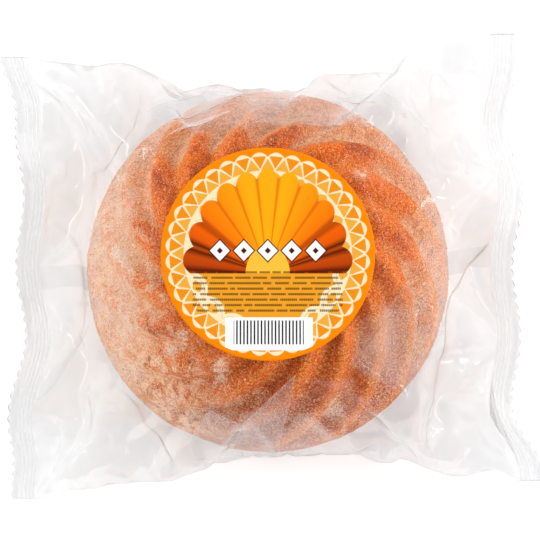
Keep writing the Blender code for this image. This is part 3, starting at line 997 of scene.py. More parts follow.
def keep_out(points, under):
    """Push points out of the cake's rounded hull. The lower layer slips beneath its foot."""
    x, y = points[..., 0], points[..., 1]
    z = np.maximum(points[..., 2], FILM_FLOOR)
    radius = np.hypot(x, y)
    top = CAKE_HEIGHT + FILM_CLEARANCE
    reach = FOOT_RADIUS - CROWN_RADIUS + FILM_CLEARANCE
    crown = radius <= CROWN_RADIUS
    beyond = np.maximum(radius - CROWN_RADIUS, 1e-9) / reach
    size = beyond ** SHOULDER_POWER + (z / top) ** SHOULDER_POWER
    grow = np.maximum(size, 1e-9) ** (-1.0 / SHOULDER_POWER)
    room = (radius - CROWN_RADIUS) * (grow - 1.0)
    inside = ~crown & (size < 1.0)
    slip = inside & under & (z - FILM_FLOOR <= SLIP_REACH * room)
    out = inside & ~slip
    grown = CROWN_RADIUS + (radius - CROWN_RADIUS) * grow
    stretch = np.where(out, grown / np.maximum(radius, 1e-9), 1.0)
    z = np.where(crown, np.where(under, FILM_FLOOR, np.maximum(z, top)), z)
    z = np.where(out, z * grow, np.where(slip, FILM_FLOOR, z))
    return np.stack((x * stretch, y * stretch, z), axis=-1)


def keep_apart(net, gap):
    """Hold the upper layer above the point of the lower layer that it was folded from."""
    half = net.shape[1] // 2
    upper = net[1:-1, 1:half, 2]
    lower = net[1:-1, :half:-1, 2]
    push = 0.5 * np.maximum(0.0, gap - (upper - lower))
    upper += push
    lower -= push


def even_out(net, under, rounds):
    """Move each point a quarter of the way to the mean of its neighbours, many times."""
    for _ in range(rounds):
        around = (np.roll(net, 1, 1) + np.roll(net, -1, 1))[1:-1]
        mean = 0.25 * around + 0.25 * (net[:-2] + net[2:])
        net[1:-1] = keep_out(0.75 * net[1:-1] + 0.25 * mean, under)
    return net


net = even_out(net, layer < 0, EVEN_ROUNDS)
print("evened out to a height of", net[..., 2].max().round(4))

# %% Threads that don't stretch
def pull(first, second, rest, stretched, pressed, held):
    """How both ends of a thread move towards its rest length, from how it resists each way."""
    gap = second - first
    length = np.linalg.norm(gap, axis=-1, keepdims=True)
    firmness = np.where(length > rest, stretched, pressed) * (length - rest) / np.maximum(length, 1e-9)
    share = firmness / np.maximum(held[0] + held[1], 1e-9)
    return gap * share * held[0], -gap * share * held[1]


def pull_neighbour_rows(net, free, shift, rest, stretched, pressed):
    """Threads between a row and the next, in two turns so that no point moves twice."""
    for start in (0, 1):
        first, second = net[start:-1:2], np.roll(net[start + 1::2], -shift, 1)
        count = min(len(first), len(second))
        held = (free[start:-1:2][:count], np.roll(free[start + 1::2][:count], -shift, 1))
        move = pull(first[:count], second[:count], rest, stretched, pressed, held)
        net[start:-1:2][:count] += move[0]
        net[start + 1::2][:count] += np.roll(move[1], shift, 1)


def pull_neighbour_columns(net, free, rest, stretched, pressed):
    """Threads round the tube, in two turns as well."""
    for start in (0, 1):
        here = np.arange(start, net.shape[1], 2)
        there = (here + 1) % net.shape[1]
        held = (free[:, here], free[:, there])
        move = pull(net[:, here], net[:, there], rest, stretched, pressed, held)
        net[:, here] += move[0]
        net[:, there] += move[1]


def resist_bending(net, free, span, along, around, firmness):
    """Threads over several points, which only resist being pressed together."""
    held = (free[:-span], free[span:])
    move = pull(net[:-span], net[span:], span * along, 0.0, firmness, held)
    net[:-span] += 0.5 * move[0]
    net[span:] += 0.5 * move[1]
    held = (free, np.roll(free, -span, 1))
    move = pull(net, np.roll(net, -span, 1), span * around, 0.0, firmness, held)
    net += 0.5 * move[0]
    net += 0.5 * np.roll(move[1], span, 1)


print("threads are ready")

# %% Drawing the net taut
PRESSED_THREAD = 0.5
SLANT_THREAD = (0.6, 0.3)
BEND_SPANS = (2, 4)


def outward(net):
    """The direction away from the inside of the tube, at each point."""
    around = np.roll(net, -1, 1) - np.roll(net, 1, 1)
    along = np.zeros_like(net)
    along[1:-1] = net[2:] - net[:-2]
    normal = np.cross(along, around)
    return normal / np.maximum(np.linalg.norm(normal, axis=-1, keepdims=True), 1e-12)


def draw_taut(net, under, puffs, turns, bending, gap):
    """Puff the net up, a distance for each round, and draw its threads to their lengths."""
    along = TUBE_LENGTH / (net.shape[0] - 1)
    around = TUBE_GIRTH / net.shape[1]
    slant = math.hypot(along, around)
    free = np.ones(net.shape[:2] + (1,))
    free[0] = free[-1] = 0.0
    for puff in puffs:
        net += outward(net) * free * puff
        for _ in range(turns):
            pull_neighbour_rows(net, free, 0, along, 1.0, PRESSED_THREAD)
            pull_neighbour_columns(net, free, around, 1.0, PRESSED_THREAD)
            for shift in (1, -1):
                pull_neighbour_rows(net, free, shift, slant, *SLANT_THREAD)
            for span in BEND_SPANS:
                resist_bending(net, free, span, along, around, bending)
            keep_apart(net, gap)
            net[1:-1] = keep_out(net[1:-1], under)
    return net


def refine(net, under):
    """Halve the mesh of the net by adding a point in the middle of each thread."""
    wide = np.repeat(net, 2, axis=1)
    wide[:, 1::2] = 0.5 * (net + np.roll(net, -1, 1))
    fine = np.repeat(wide, 2, axis=0)[:-1]
    fine[1::2] = 0.5 * (wide[:-1] + wide[1:])
    below = np.repeat(under, 2)
    below[1::2] = under | np.roll(under, -1)
    return fine, below


print("drawing is ready")

# %% Three nets, from a coarse one to a fine one
CREASE_SEED = 7
CREASE_START = 0.0004
PUFF = 0.0002
PUFF_ROUNDS = 120
LAYER_GAP = 0.0001
COARSE_ROUNDS, MIDDLE_ROUNDS, FINE_ROUNDS = ((260, 60, 24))

under = layer < 0
net[1:-1] += np.random.default_rng(CREASE_SEED).normal(0.0, CREASE_START, net[1:-1].shape)
puffs = PUFF * np.maximum(0.0, 1.0 - np.arange(COARSE_ROUNDS) / PUFF_ROUNDS)
net = draw_taut(net, under, puffs, turns=6, bending=0.05, gap=2.0 * SEAL_HALF_THICKNESS)
for row in (0, -1):
    net[row, :, 2] += layer * (LAYER_GAP - SEAL_HALF_THICKNESS)
net, under = refine(net, under)
net = draw_taut(net, under, np.zeros(MIDDLE_ROUNDS), turns=6, bending=0.03, gap=0.0005)
net, under = refine(net, under)
net = draw_taut(net, under, np.zeros(FINE_ROUNDS), turns=5, bending=0.01, gap=2.0 * LAYER_GAP)
around = np.linalg.norm(np.roll(net, -1, 1) - net, axis=2).sum(axis=1)
print("girth", around.min().round(4), "to", around.max().round(4), "of", TUBE_GIRTH)

# %% [markdown]
# ## Small creases
#
# Handling leaves small sharp creases in the film, finer than the net's folds. A noise would give
# soft dents. The sum of a few zigzag waves is flat between its kinks, though, so it divides the
# film into small flat facets with straight edges. One wave runs round the cake, as pull lines
# do, and the others cross it at odd angles. A slow noise shifts them and fades them in and out.

# %% Zigzag waves across the film
# The direction of each wave in degrees, its period and its depth
CREASES = (
    (20.0, 0.024, 0.00085),
    (75.0, 0.031, 0.00095),
    (128.0, 0.019, 0.00065),
)
PULL_LINES = 22
PULL_DEPTH = 0.00080
CREASE_WARP = 0.35
CREASE_WARP_SIZE = 0.05
CREASE_FADE_SIZE = 0.03
CREASE_FADE_SHIFT = 0.3
CREASE_FADE_SPAN = (-0.35, 0.35)
CREASE_LEAN = 0.6
CREASE_FREE = (0.001, 0.006)
CALM_AT_SEALS = 8


def zigzag(phase):
    """A wave between -1 and 1 with straight flanks."""
    return 4.0 * np.abs(phase - np.floor(phase) - 0.5) - 1.0


def crease(net, under):
    """Fold the net's free parts in small flat facets."""
    points = net.reshape(-1, 3)
    x, y, z = points.T
    warp = CREASE_WARP * clouds(points, CREASE_WARP_SIZE, 2)
    fade = clouds(points + CREASE_FADE_SHIFT, CREASE_FADE_SIZE, 1)
    fade = smooth_step(fade, *CREASE_FADE_SPAN)
    lift = PULL_DEPTH * zigzag(PULL_LINES * np.arctan2(y, x) / TURN + warp)
    for degrees, period, depth in CREASES:
        turn = math.radians(degrees)
        along = x * math.cos(turn) + y * math.sin(turn) + CREASE_LEAN * z
        lift += depth * zigzag(along / period + warp) * fade
    beyond = np.maximum(np.hypot(x, y) - CROWN_RADIUS, 0.0) / (FOOT_RADIUS - CROWN_RADIUS)
    gap = np.hypot(beyond, z / CAKE_HEIGHT) * (FOOT_RADIUS - CROWN_RADIUS)
    size = beyond ** SHOULDER_POWER + (z / CAKE_HEIGHT) ** SHOULDER_POWER
    gap *= 1.0 - np.maximum(size, 1e-9) ** (-1.0 / SHOULDER_POWER)
    ends = 1.0 - np.linspace(-1.0, 1.0, len(net)) ** CALM_AT_SEALS
    free = smooth_step(gap, *CREASE_FREE).reshape(net.shape[:2]) * ends[:, None]
    moved = net + outward(net) * (lift.reshape(net.shape[:2]) * free)[..., None]
    keep_apart(moved, 2.0 * LAYER_GAP)
    moved[1:-1] = keep_out(moved[1:-1], under)
    return moved


creased = crease(net, under)
print("creases move the film by up to", np.abs(creased - net).max().round(5))
net = creased

# %% [markdown]
# ## Film, seals and teeth as one mesh
#
# The solved points need faces. A grid is a flat web already, like the film on its roll: its
# columns run round the tube and its rows along it. So a grid is made with one operator, with
# extra rows at both ends for the seals, and its points are moved to their solved places. Welding
# its first and last column closes the tube, and welding the two layers at the cut edge closes
# the bag. The crimp is a corrugation of both layers, and the last row steps in and out as teeth.

# %% Rows of the seals
RIB_PITCH = 0.0016
RIBS = 4
ROWS_PER_RIB = 4
RIB_HEIGHT = 0.00035
TOOTH_DEPTH = 0.0013
SIDES_PER_TOOTH = 4
SEAL_CURL = 0.16
SEAL_CURL_TURNS = 5.0
SEAL_CURL_SHIFT = 1.7
MARGIN_PARTS = (0.33, 0.66, 1.0)


def seal_rows(ring, end):
    """Rows of points from the flat end of the tube out to the cut edge."""
    sides = len(ring)
    half = sides // 2
    column = np.arange(sides)
    level = np.where(column % half == 0, 0, np.where(column < half, 1, -1))
    folded = np.minimum(column, sides - column)
    line = ring.copy()
    line[:, 2] -= level * LAYER_GAP
    share = 1.0 - 2.0 * folded / half
    curl = SEAL_CURL * np.sin(SEAL_CURL_TURNS * share + SEAL_CURL_SHIFT * end)
    curl = curl * (1.0 - np.abs(share) ** 4)
    tooth = np.abs(((folded % SIDES_PER_TOOTH) / SIDES_PER_TOOTH) * 2.0 - 1.0)
    rib_rows = ROWS_PER_RIB * RIBS
    offsets = [RIB_PITCH * step / ROWS_PER_RIB for step in range(1, rib_rows + 1)]
    margin = SEAL_WIDTH - offsets[-1]
    offsets += [offsets[-1] + margin * part for part in MARGIN_PARTS]
    rows = []
    for index, offset in enumerate(offsets):
        row = line.copy()
        last = index == len(offsets) - 1
        reach = offset - (TOOTH_DEPTH * tooth if last else 0.0)
        rib = RIB_HEIGHT * math.sin(TURN * (index + 1) / ROWS_PER_RIB) if index < rib_rows else 0.0
        row[:, 0] += end * reach
        row[:, 2] += curl * offset + rib + (0.0 if last else 1.0) * level * LAYER_GAP
        rows.append(row)
    return rows


def whole_web(net):
    """The net with the rows of both seals added to its ends."""
    left = seal_rows(net[0], -1)
    right = seal_rows(net[-1], 1)
    return np.concatenate((np.array(left)[::-1], net, np.array(right)))


def rib_marks(web_rows, net_rows):
    """1 on each rib's crest, 0 between the ribs, for each row of the web."""
    marks = np.zeros(web_rows)
    seal = (web_rows - net_rows) // 2
    for rib in range(RIBS + 1):
        row = seal - 1 - rib * ROWS_PER_RIB
        marks[[row, -1 - row]] = 1.0
    return marks


web = whole_web(net)
ribs = rib_marks(len(web), len(net))
print("web of", web.shape[0], "rows and", int(ribs.sum()), "rib crests")

# %% The grid that becomes the bag
def wrap_grid(web, ribs):
    """A flat grid moved to the web's points and welded into a closed bag."""
    rows, sides = web.shape[:2]
    bm = bmesh.new()
    bmesh.ops.create_grid(bm, x_segments=sides, y_segments=rows - 1, size=0.5, calc_uvs=True)
    bm.verts.ensure_lookup_table()
    closed = np.concatenate((web, web[:, :1]), axis=1).reshape(-1, 3)
    rib_layer = bm.verts.layers.float.new("rib")
    for vert, place, rib in zip(bm.verts, closed, np.repeat(ribs, sides + 1)):
        vert.co = place
        vert[rib_layer] = rib
    edge_rows = [bm.verts[index] for index in range(sides + 1)]
    edge_rows += [bm.verts[index] for index in range((rows - 1) * (sides + 1), rows * (sides + 1))]
    seam = [bm.verts[row * (sides + 1) + side] for row in range(rows) for side in (0, sides)]
    bmesh.ops.remove_doubles(bm, verts=list(dict.fromkeys(edge_rows + seam)), dist=1e-7)
    bmesh.ops.recalc_face_normals(bm, faces=bm.faces)
    if bm.calc_volume(signed=True) < 0.0:
        bmesh.ops.reverse_faces(bm, faces=bm.faces)
    print("film holds", round(1e6 * bm.calc_volume(signed=True)), "millilitres")
    return to_mesh("film_bag", bm)


film_mesh = wrap_grid(web, ribs)
film_points = read_points(film_mesh)
store(film_mesh, "touch", film_touch(film_points) * (film_points[:, 2] > 0.5 * CAKE_HEIGHT))
print("film", film_points.min(axis=0).round(4), film_points.max(axis=0).round(4))

# %% [markdown]
# ## Clear film as a material
#
# The film is thinner than a hair, so light isn't bent by it: it passes, or it is mirrored by the
# two faces, more at a glancing angle, and a little is scattered by the haze in the plastic.
# A glass shader would treat the bag as a solid block. Three simple shaders are mixed instead:
# Transparent for what passes, Glossy for the mirror and a white Diffuse for the haze. Layer
# Weight's Facing output gives the angle alike from both sides, and the mirror follows
# Schlick's formula from it. Where the film sticks to the greasy crust, its inner face mirrors
# nothing, so the mirror is only a quarter as strong there and the crust looks deeper.

# %% Small flat facets
FACET_SIZE = 0.014
FACET_TILT = 0.44


def facets(tree, where):
    """Heights in metres of small planes, each tilted its own way, like crumpled foil."""
    pattern = tree.nodes.new("ShaderNodeTexVoronoi")
    pattern.inputs["Scale"].default_value = 1.0 / FACET_SIZE
    tree.links.new(where, pattern.inputs["Vector"])
    from_middle, tilt, height = (tree.nodes.new("ShaderNodeVectorMath") for _ in range(3))
    from_middle.operation = tilt.operation = "SUBTRACT"
    height.operation = "DOT_PRODUCT"
    tilt.inputs[1].default_value = (0.5, 0.5, 0.5)
    tree.links.new(where, from_middle.inputs[0])
    tree.links.new(pattern.outputs["Position"], from_middle.inputs[1])
    tree.links.new(pattern.outputs["Color"], tilt.inputs[0])
    tree.links.new(from_middle.outputs["Vector"], height.inputs[0])
    tree.links.new(tilt.outputs["Vector"], height.inputs[1])
    return Field(tree, height.outputs["Value"]) * FACET_TILT


print("facets of", 1000 * FACET_SIZE, "mm")

# %% Film's material
FILM_MIRROR = 0.090
MIRROR_LOSS_ON_CRUST = 0.068
FILM_ROUGHNESS = 0.09
FACET_LOSS_ON_CRUST = 0.8
FILM_HAZE = 0.006
FILM_EDGE_HAZE = 0.15
HAZE_POWER = 1.5
HAZE_LOSS_ON_CRUST = 0.85
HAZE_COLOUR = (0.98, 0.985, 0.99, 1.0)
RIB_HAZE = 0.12
FILM_CLEARNESS = 0.939
RIB_CLEARNESS = 0.93
SCHLICK_POWER = 5.0


def grey(level):
    return (level, level, level, 1.0)


def mix_shaders(tree, share, first, second):
    """Two shaders mixed, with as much of the second one as the share says."""
    mixture = tree.nodes.new("ShaderNodeMixShader")
    tree.links.new(share.socket, mixture.inputs[0])
    tree.links.new(first.outputs[0], mixture.inputs[1])
    tree.links.new(second.outputs[0], mixture.inputs[2])
    return mixture


def film_finish():
    finish, tree, shader = new_finish("clear_film")
    nodes, links = tree.nodes, tree.links
    nodes.remove(shader)
    where = place_of(tree)[1]
    touch, rib = stored(tree, "touch"), stored(tree, "rib")
    weight = nodes.new("ShaderNodeLayerWeight")
    weight.inputs["Blend"].default_value = 0.5
    facing = Field(tree, weight.outputs["Facing"])
    straight = FILM_MIRROR - touch * MIRROR_LOSS_ON_CRUST
    mirror = (facing ** SCHLICK_POWER) * (1.0 - straight) + straight
    haze = (facing ** HAZE_POWER) * FILM_EDGE_HAZE + FILM_HAZE
    haze = haze * (1.0 - touch * HAZE_LOSS_ON_CRUST) + rib * RIB_HAZE
    clear = nodes.new("ShaderNodeBsdfTransparent")
    clearness = paint(tree, grey(FILM_CLEARNESS), grey(RIB_CLEARNESS), rib)
    links.new(clearness, clear.inputs["Color"])
    milk = nodes.new("ShaderNodeBsdfDiffuse")
    milk.inputs["Color"].default_value = HAZE_COLOUR
    gloss = nodes.new("ShaderNodeBsdfGlossy")
    gloss.inputs["Roughness"].default_value = FILM_ROUGHNESS
    relief(tree, gloss, facets(tree, where) * (1.0 - touch * FACET_LOSS_ON_CRUST), 1.0, 1.0)
    body = mix_shaders(tree, haze, clear, milk)
    skin = mix_shaders(tree, mirror, body, gloss)
    links.new(skin.outputs[0], nodes["Material Output"].inputs["Surface"])
    return finish


film = make_piece("film_bag", film_mesh, film_finish())
print("film of", len(film.data.polygons), "faces")

# %% [markdown]
# ## Pleats
#
# Where the tube has more film than the cake needs, the spare film folds over and lies flat as a
# straight-edged pleat. Two layers mirror and scatter more than one, so a pleat looks like a pale
# patch with a whiter edge, and the tighter it is folded, the paler it is. The paleness is the
# haze of the two layers, raised by a painted reflection that stands in for the bright light a real
# pleat mirrors, and the whiter edge is a painted highlight along the fold. Each is cut out of the
# bag's own upper layer with straight cutting planes, as scissors would do it, and lifted a
# little, with its rim lifted more so that the fold shows as a line.

# %% Pleats cut from the bag's own mesh
PLEAT_FOOT = 0.010
PLEAT_STEEPEST = 0.10
PLEAT_GAP = 0.0003
PLEAT_LIP = 0.0005
# Painted highlight along each pleat's folded rim, laid on as extra haze
PLEAT_EDGE_HIGHLIGHT = 0.8
PLEAT_STICK = 0.9

# How white each pleat is (its haze and a painted reflection), and its corners seen from above,
# anticlockwise
PLEATS = (
    (1.0, ((-0.0335, -0.0740), (-0.0300, -0.0820), (-0.0105, -0.0820), (-0.0109, -0.0675),
           (-0.0243, -0.0610))),
    (0.6, ((-0.0109, -0.0675), (-0.0105, -0.0820), (0.0036, -0.0820), (0.0112, -0.0478))),
    (0.1, ((0.0323, -0.0439), (0.0561, -0.0561), (0.0700, -0.0250), (0.0560, -0.0100))),
    (0.5, ((-0.0432, 0.0542), (-0.0097, 0.0707), (-0.0288, 0.0770), (-0.0499, 0.0615))),
    (0.8, ((0.0286, 0.0691), (0.0683, 0.0559), (0.0440, 0.0722))),
    (0.2, ((-0.0050, 0.0545), (0.0400, 0.0525), (0.0300, 0.0670), (-0.0080, 0.0690))),
    (2.0, ((-0.0410, 0.0494), (-0.0220, 0.0570), (-0.0143, 0.0617), (-0.0290, 0.0570))),
)


def upper_layer(mesh):
    """The part of the bag that can be seen from above."""
    bm = bmesh.new()
    bm.from_mesh(mesh)
    away = [face for face in bm.faces
            if face.normal.z < PLEAT_STEEPEST or face.calc_center_median().z < PLEAT_FOOT]
    bmesh.ops.delete(bm, geom=away, context="FACES")
    return bm


def cut_pleat(layer, haze_and_reflection, corners):
    """A copy of the layer, cut along each side of the pleat and lifted."""
    bm = layer.copy()
    for start, end in zip(corners, corners[1:] + corners[:1]):
        bmesh.ops.bisect_plane(
            bm, geom=bm.verts[:] + bm.edges[:] + bm.faces[:], dist=1e-6,
            plane_co=(*start, 0.0), plane_no=(end[1] - start[1], start[0] - end[0], 0.0),
            clear_outer=True)
    bm.normal_update()
    lifts = [vert.normal * (PLEAT_GAP + PLEAT_LIP * vert.is_boundary) for vert in bm.verts]
    marks = bm.verts.layers.float
    for vert, lift in zip(bm.verts, lifts):
        vert.co += lift
        # Extra haze: the pleat's two layers, a painted reflection, and a painted highlight at the rim
        vert[marks["rib"]] = haze_and_reflection + PLEAT_EDGE_HIGHLIGHT * vert.is_boundary
        vert[marks["touch"]] = PLEAT_STICK
    return bm


def pleat_mesh():
    layer = upper_layer(film_mesh)
    whole = bpy.data.meshes.new("film_pleats")
    joined = bmesh.new()
    for haze_and_reflection, corners in PLEATS:
        bm = cut_pleat(layer, haze_and_reflection, corners)
        print("pleat of", len(bm.faces), "faces")
        bm.to_mesh(whole)
        bm.free()
        joined.from_mesh(whole)
    layer.free()
    return to_mesh("film_pleats", joined)


pleats = make_piece("film_pleats", pleat_mesh(), film.data.materials[0])
print("pleats", len(PLEATS), "with", len(pleats.data.polygons), "faces")

# %% [markdown]
# ## The weld underneath
#
# The tube's long weld is a narrow strip that runs along the bag's underside and lies folded flat
# on it. It shows through the film as two faint lines beside the cake. Its middle follows a few
# columns of the solved net, a little outside them, so that it lies on the film all the way.

# %% A strip along the net's lowest columns
WELD_COLUMNS = 9
WELD_GAP = 0.00015


def weld_strip(net):
    """A strip that faces downwards, just below the net's lowest columns."""
    middle = 3 * net.shape[1] // 4
    columns = slice(middle - WELD_COLUMNS // 2, middle + WELD_COLUMNS // 2 + 1)
    places = (net + outward(net) * WELD_GAP)[:, columns].reshape(-1, 3)
    bm = bmesh.new()
    bmesh.ops.create_grid(bm, x_segments=WELD_COLUMNS - 1, y_segments=len(net) - 1, size=0.5)
    for vert, place in zip(bm.verts, places):
        vert.co = place
    bmesh.ops.recalc_face_normals(bm, faces=bm.faces)
    if sum(face.normal.z for face in bm.faces) > 0.0:
        bmesh.ops.reverse_faces(bm, faces=bm.faces)
    return to_mesh("film_weld", bm)


weld = make_piece("film_weld", weld_strip(net), film.data.materials[0])
store(weld.data, "touch", np.ones(len(weld.data.vertices)))
weld_points = read_points(weld.data)
print("weld", weld_points.min(axis=0).round(4), weld_points.max(axis=0).round(4))

# %% [markdown]
# ## The label's paper
#
# The label is a disc of coated paper that lies on the film, not quite flat: the film under it
# gives, so its edge lifts here and there by a fraction of a millimetre. A radius is spun into a
# disc of even rings, waved by two slow sines, and given its thickness with Solidify.

# %% Paper disc
LABEL_RINGS = 40
LABEL_SIDES = 180
PAPER_THICKNESS = 0.00014
PAPER_WAVE = 0.00022


def paper_disc():
    """A disc that faces upwards, waved most at its rim, with a thickness."""
    bm = bmesh.new()
    radii = [LABEL_RADIUS * step / LABEL_RINGS for step in range(LABEL_RINGS + 1)]
    verts = [bm.verts.new((radius, 0.0, 0.0)) for radius in radii]
    edges = [bm.edges.new(pair) for pair in zip(verts, verts[1:])]
    bmesh.ops.spin(
        bm, geom=verts + edges, cent=(0, 0, 0), axis=(0, 0, 1), angle=TURN,
        steps=LABEL_SIDES, use_merge=True)
    bmesh.ops.remove_doubles(bm, verts=bm.verts, dist=1e-6)
    bmesh.ops.recalc_face_normals(bm, faces=bm.faces)
    if sum(face.normal.z for face in bm.faces) < 0.0:
        bmesh.ops.reverse_faces(bm, faces=bm.faces)
    for vert in bm.verts:
        rim = (vert.co.x ** 2 + vert.co.y ** 2) / LABEL_RADIUS ** 2
        angle = math.atan2(vert.co.y, vert.co.x)
        wave = 1.0 + math.sin(3.0 * angle + 0.6) + 0.5 * math.sin(7.0 * angle + 2.0)
        vert.co.z = LABEL_BOTTOM + PAPER_THICKNESS + PAPER_WAVE * wave * rim ** 2
    bmesh.ops.solidify(bm, geom=bm.faces[:], thickness=PAPER_THICKNESS)
    return to_mesh("label_paper", bm)


label_mesh = paper_disc()
label_points = read_points(label_mesh)
print("label", label_points.min(axis=0).round(5), label_points.max(axis=0).round(5))

# %% [markdown]
# ## The label's print
#
# The print has an orange border, a ring of paper lace, a fan of petals over a half sun, a row of
# lozenges, rows of dashes and a white panel of ruled bars. No image is used. Each field is a
# formula of the distance and angle from the middle, in millimetres, so it stays sharp at any
# size. A repeated motif is drawn once and folded round the ring with the fraction of the angle.

# %% Folding a ring into equal sectors
def square_root(value):
    return value.node("SQRT")


def larger(one, other, soft=0.4):
    """The larger of two values with a rounded corner, which joins two edges of an outline."""
    return one.node("SMOOTH_MAX", other, soft)


def sector(angle, radius, count, shift=0.0):
    """The distance along the arc from the middle of the nearest of so many equal sectors."""
    part = (angle * (count / TURN) + (shift + 100.0)).node("FRACT") - 0.5
    return (part * (TURN / count)).node("ABSOLUTE") * radius


LACE_CELLS = 36
LACE_OUTER = 40.2
LACE_INNER = 27.0


def lace(angle, radius):
    """Masks of the cream lace, of its dark and light orange cells and of its inner thread."""
    arc = sector(angle, radius, LACE_CELLS)
    arc_between = sector(angle, radius, LACE_CELLS, 0.5)
    arc_wide = sector(angle, radius, LACE_CELLS // 2, 0.25)
    edge = LACE_OUTER + 0.9 - arc * arc * 0.16
    inner = LACE_INNER + arc_wide * arc_wide * 0.10
    cream = (radius - edge).below(0.0, 0.25) * (radius - inner).above(0.0, 0.25)
    outer_cell = larger(arc - (radius - 34.6) * 0.55, radius - 39.3, 0.8)
    inner_cell = larger(arc_between - (38.2 - radius) * 0.62, 33.9 - radius, 0.8)
    leaf = arc_wide * 0.9 + ((radius - 31.2).node("ABSOLUTE") ** 1.6) * 0.75
    deep = outer_cell.below(0.15, 0.2)
    light = inner_cell.below(0.15, 0.2)
    light = light.node("MAXIMUM", leaf.below(2.3, 0.25))
    thread = (radius - inner - 1.6).node("ABSOLUTE").below(0.16, 0.12)
    return cream, deep, light, thread


print("lace of", LACE_CELLS, "cells")

# %% The fan and the lozenges
FAN_PETALS = 11
FAN_FOOT = -8.0
FAN_HEIGHT = 42.5
FAN_SQUEEZE = 1.24
PETAL_DROP = 4.0
SUN_RADIUS = 11.0
LOZENGE_PITCH = 9.6
LOZENGE_MIDDLE = 1.2
LOZENGE_ROW = 24.0

PETAL_YELLOW = colour(255, 170, 16)
PETAL_ORANGE = colour(252, 104, 4)
PETAL_BROWN = colour(176, 60, 8)
PETAL_SHADE = colour(60, 10, 4)
PETAL_EDGE = colour(214, 84, 6)
SUN_YELLOW = colour(255, 190, 60)
LOZENGE_BROWN = colour(70, 24, 14)
LOZENGE_WHITE = colour(252, 248, 244)


def fan(tree, x, y, under):
    """A shell of petals over a half sun, darkest at both ends."""
    wide = x * FAN_SQUEEZE
    tall = y - FAN_FOOT
    reach = square_root(wide * wide + tall * tall)
    bearing = wide.node("ARCTAN2", tall)
    petal = sector(bearing, reach, 2 * FAN_PETALS, 0.5)
    share = petal.node("DIVIDE", reach * (math.pi / (2 * FAN_PETALS)))
    rim = FAN_HEIGHT - (share ** 2.2) * PETAL_DROP
    inside = (reach - rim).below(0.0, 0.3) * tall.above(0.0, 0.3)
    away = bearing.node("ABSOLUTE") * (2.0 / math.pi)
    tint = paint(tree, PETAL_YELLOW, PETAL_ORANGE, away.above(0.42, 0.5))
    tint = paint(tree, tint, PETAL_BROWN, away.above(0.78, 0.35))
    tint = paint(tree, tint, PETAL_SHADE, (away.above(0.55, 0.5) * share).above(0.55, 0.5))
    tint = paint(tree, tint, PETAL_EDGE, share.above(0.86, 0.25) * 0.7)
    tint = paint(tree, tint, SUN_YELLOW, (reach - SUN_RADIUS).below(0.0, 0.3))
    return paint(tree, under, tint, inside)


def lozenges(tree, x, y, under):
    """A row of white lozenges with dark outlines and dark middles."""
    part = ((x * (1.0 / LOZENGE_PITCH) + 0.5).node("FRACT") - 0.5).node("ABSOLUTE") * LOZENGE_PITCH
    within = x.node("ABSOLUTE").below(LOZENGE_ROW, 0.1)
    size = part * 1.05 + (y - LOZENGE_MIDDLE).node("ABSOLUTE")
    ink = paint(tree, under, LOZENGE_BROWN, size.below(4.9, 0.3) * within)
    ink = paint(tree, ink, LOZENGE_WHITE, size.below(4.2, 0.25) * within)
    return paint(tree, ink, LOZENGE_BROWN, size.below(1.3, 0.25) * within)


print("fan of", FAN_PETALS, "petals")

# %% The dashes and the panel
ROWS_TOP = -6.4
ROW_PITCH = 2.2
# Left, right, bottom and top
ROWS_BOX = (-30.0, 30.0, -24.0, ROWS_TOP)
PANEL_BOX = (-17.0, 18.0, -38.8, -25.6)
BARS_BOX = (-13.6, 14.4, -36.4, -26.8)
BAR_PERIOD = 1.4

DASH_BROWN = colour(60, 26, 6)
PANEL_WHITE = colour(250, 250, 250)
BAR_BLACK = colour(30, 28, 30)


def box_mask(x, y, left, right, bottom, top):
    """1 inside an upright rectangle."""
    across = (x - 0.5 * (left + right)).node("ABSOLUTE") - 0.5 * (right - left)
    upwards = (y - 0.5 * (bottom + top)).node("ABSOLUTE") - 0.5 * (top - bottom)
    return across.node("MAXIMUM", upwards).below(0.0, 0.1)


def dash_rows(tree, x, y, radius, under):
    """Rows of dashes of uneven length."""
    row = ((y - ROWS_TOP) * (-1.0 / ROW_PITCH)).node("FLOOR")
    across_row = ((y - ROWS_TOP) * (-1.0 / ROW_PITCH)).node("FRACT") - 0.5
    place = tree.nodes.new("ShaderNodeCombineXYZ")
    tree.links.new((x * 0.42 + row * 7.3).socket, place.inputs[0])
    tree.links.new(row.socket, place.inputs[1])
    dashes = grain(tree, place.outputs[0], 1.0, 0.0).above(0.40, 0.05)
    strokes = ((x + row * 0.37) * 1.25).node("FRACT").above(0.28, 0.2) * 0.45 + 0.55
    bar = across_row.node("ABSOLUTE").below(0.20, 0.1) * dashes * strokes
    block = box_mask(x, y, *ROWS_BOX) * radius.below(36.5, 0.5)
    return paint(tree, under, DASH_BROWN, bar * block * 0.78)


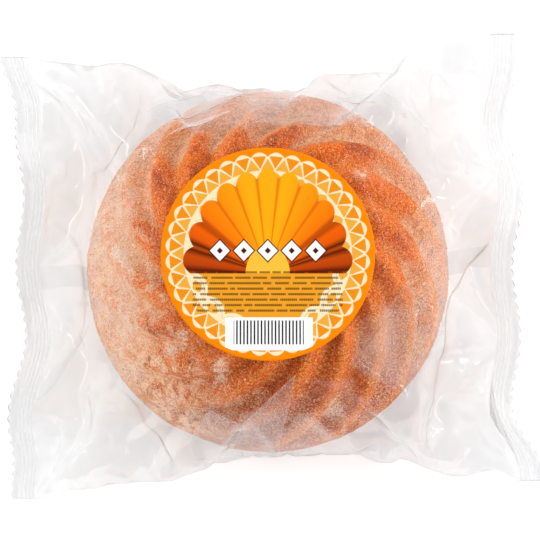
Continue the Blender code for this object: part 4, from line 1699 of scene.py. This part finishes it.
def panel(tree, x, y, radius, under):
    """A white panel with evenly ruled bars."""
    card = box_mask(x, y, *PANEL_BOX) * radius.below(41.2, 0.2)
    ink = paint(tree, under, PANEL_WHITE, card)
    stripe = (x * (1.0 / BAR_PERIOD)).node("FRACT").below(0.45, 0.08)
    return paint(tree, ink, BAR_BLACK, stripe * box_mask(x, y, *BARS_BOX))


print("bars every", BAR_PERIOD, "mm")

# %% The label's material
FIELD_ORANGE = colour(234, 158, 40)
BORDER_ORANGE = colour(250, 136, 0)
LACE_CREAM = colour(248, 226, 184)
LACE_THREAD = colour(202, 172, 120)
LACE_DEEP = colour(236, 142, 22)
LACE_LIGHT = colour(236, 168, 60)
PAPER_ROUGHNESS = 0.45
PAPER_SHINE = 0.1
PAPER_GRAIN = 0.0005


def label_finish():
    finish, tree, shader = new_finish("label_paper")
    (x, y, _), where = place_of(tree)
    radius = square_root(x * x + y * y)
    angle = y.node("ARCTAN2", x)
    cream, deep, light, thread = lace(angle, radius)
    ink = paint(tree, FIELD_ORANGE, BORDER_ORANGE, radius.above(LACE_INNER + 4.0, 6.0))
    ink = paint(tree, ink, LACE_CREAM, cream)
    ink = paint(tree, ink, LACE_THREAD, thread * cream * 0.6)
    ink = paint(tree, ink, LACE_DEEP, deep * cream)
    ink = paint(tree, ink, LACE_LIGHT, light * cream)
    ink = fan(tree, x, y, ink)
    ink = lozenges(tree, x, y, ink)
    ink = dash_rows(tree, x, y, radius, ink)
    ink = panel(tree, x, y, radius, ink)
    tree.links.new(ink, shader.inputs["Base Color"])
    shader.inputs["Roughness"].default_value = PAPER_ROUGHNESS
    shader.inputs["Specular IOR Level"].default_value = PAPER_SHINE
    relief(tree, shader, grain(tree, where, PAPER_GRAIN, 1.0), 0.00003, 0.4)
    return finish


label = make_piece("label_paper", label_mesh, label_finish())
print("label of", len(label.data.polygons), "faces")

# %% [markdown]
# ## Handing the pieces to the frame
#
# Nothing moves on this object, so every piece rides on its one body. The film and what it holds
# stand for the imported bag, and the paper stands for the imported label.

# %% Riding and replacing
for piece, node, slot in (
    (film, "bag", "clear_film"),
    (pleats, "bag", "clear_film"),
    (weld, "bag", "clear_film"),
    (cake, "bag", "cake_crust"),
    (sugar, "bag", "sugar"),
    (label, "label", "label_paper"),
):
    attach(piece, "root")
    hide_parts(node)
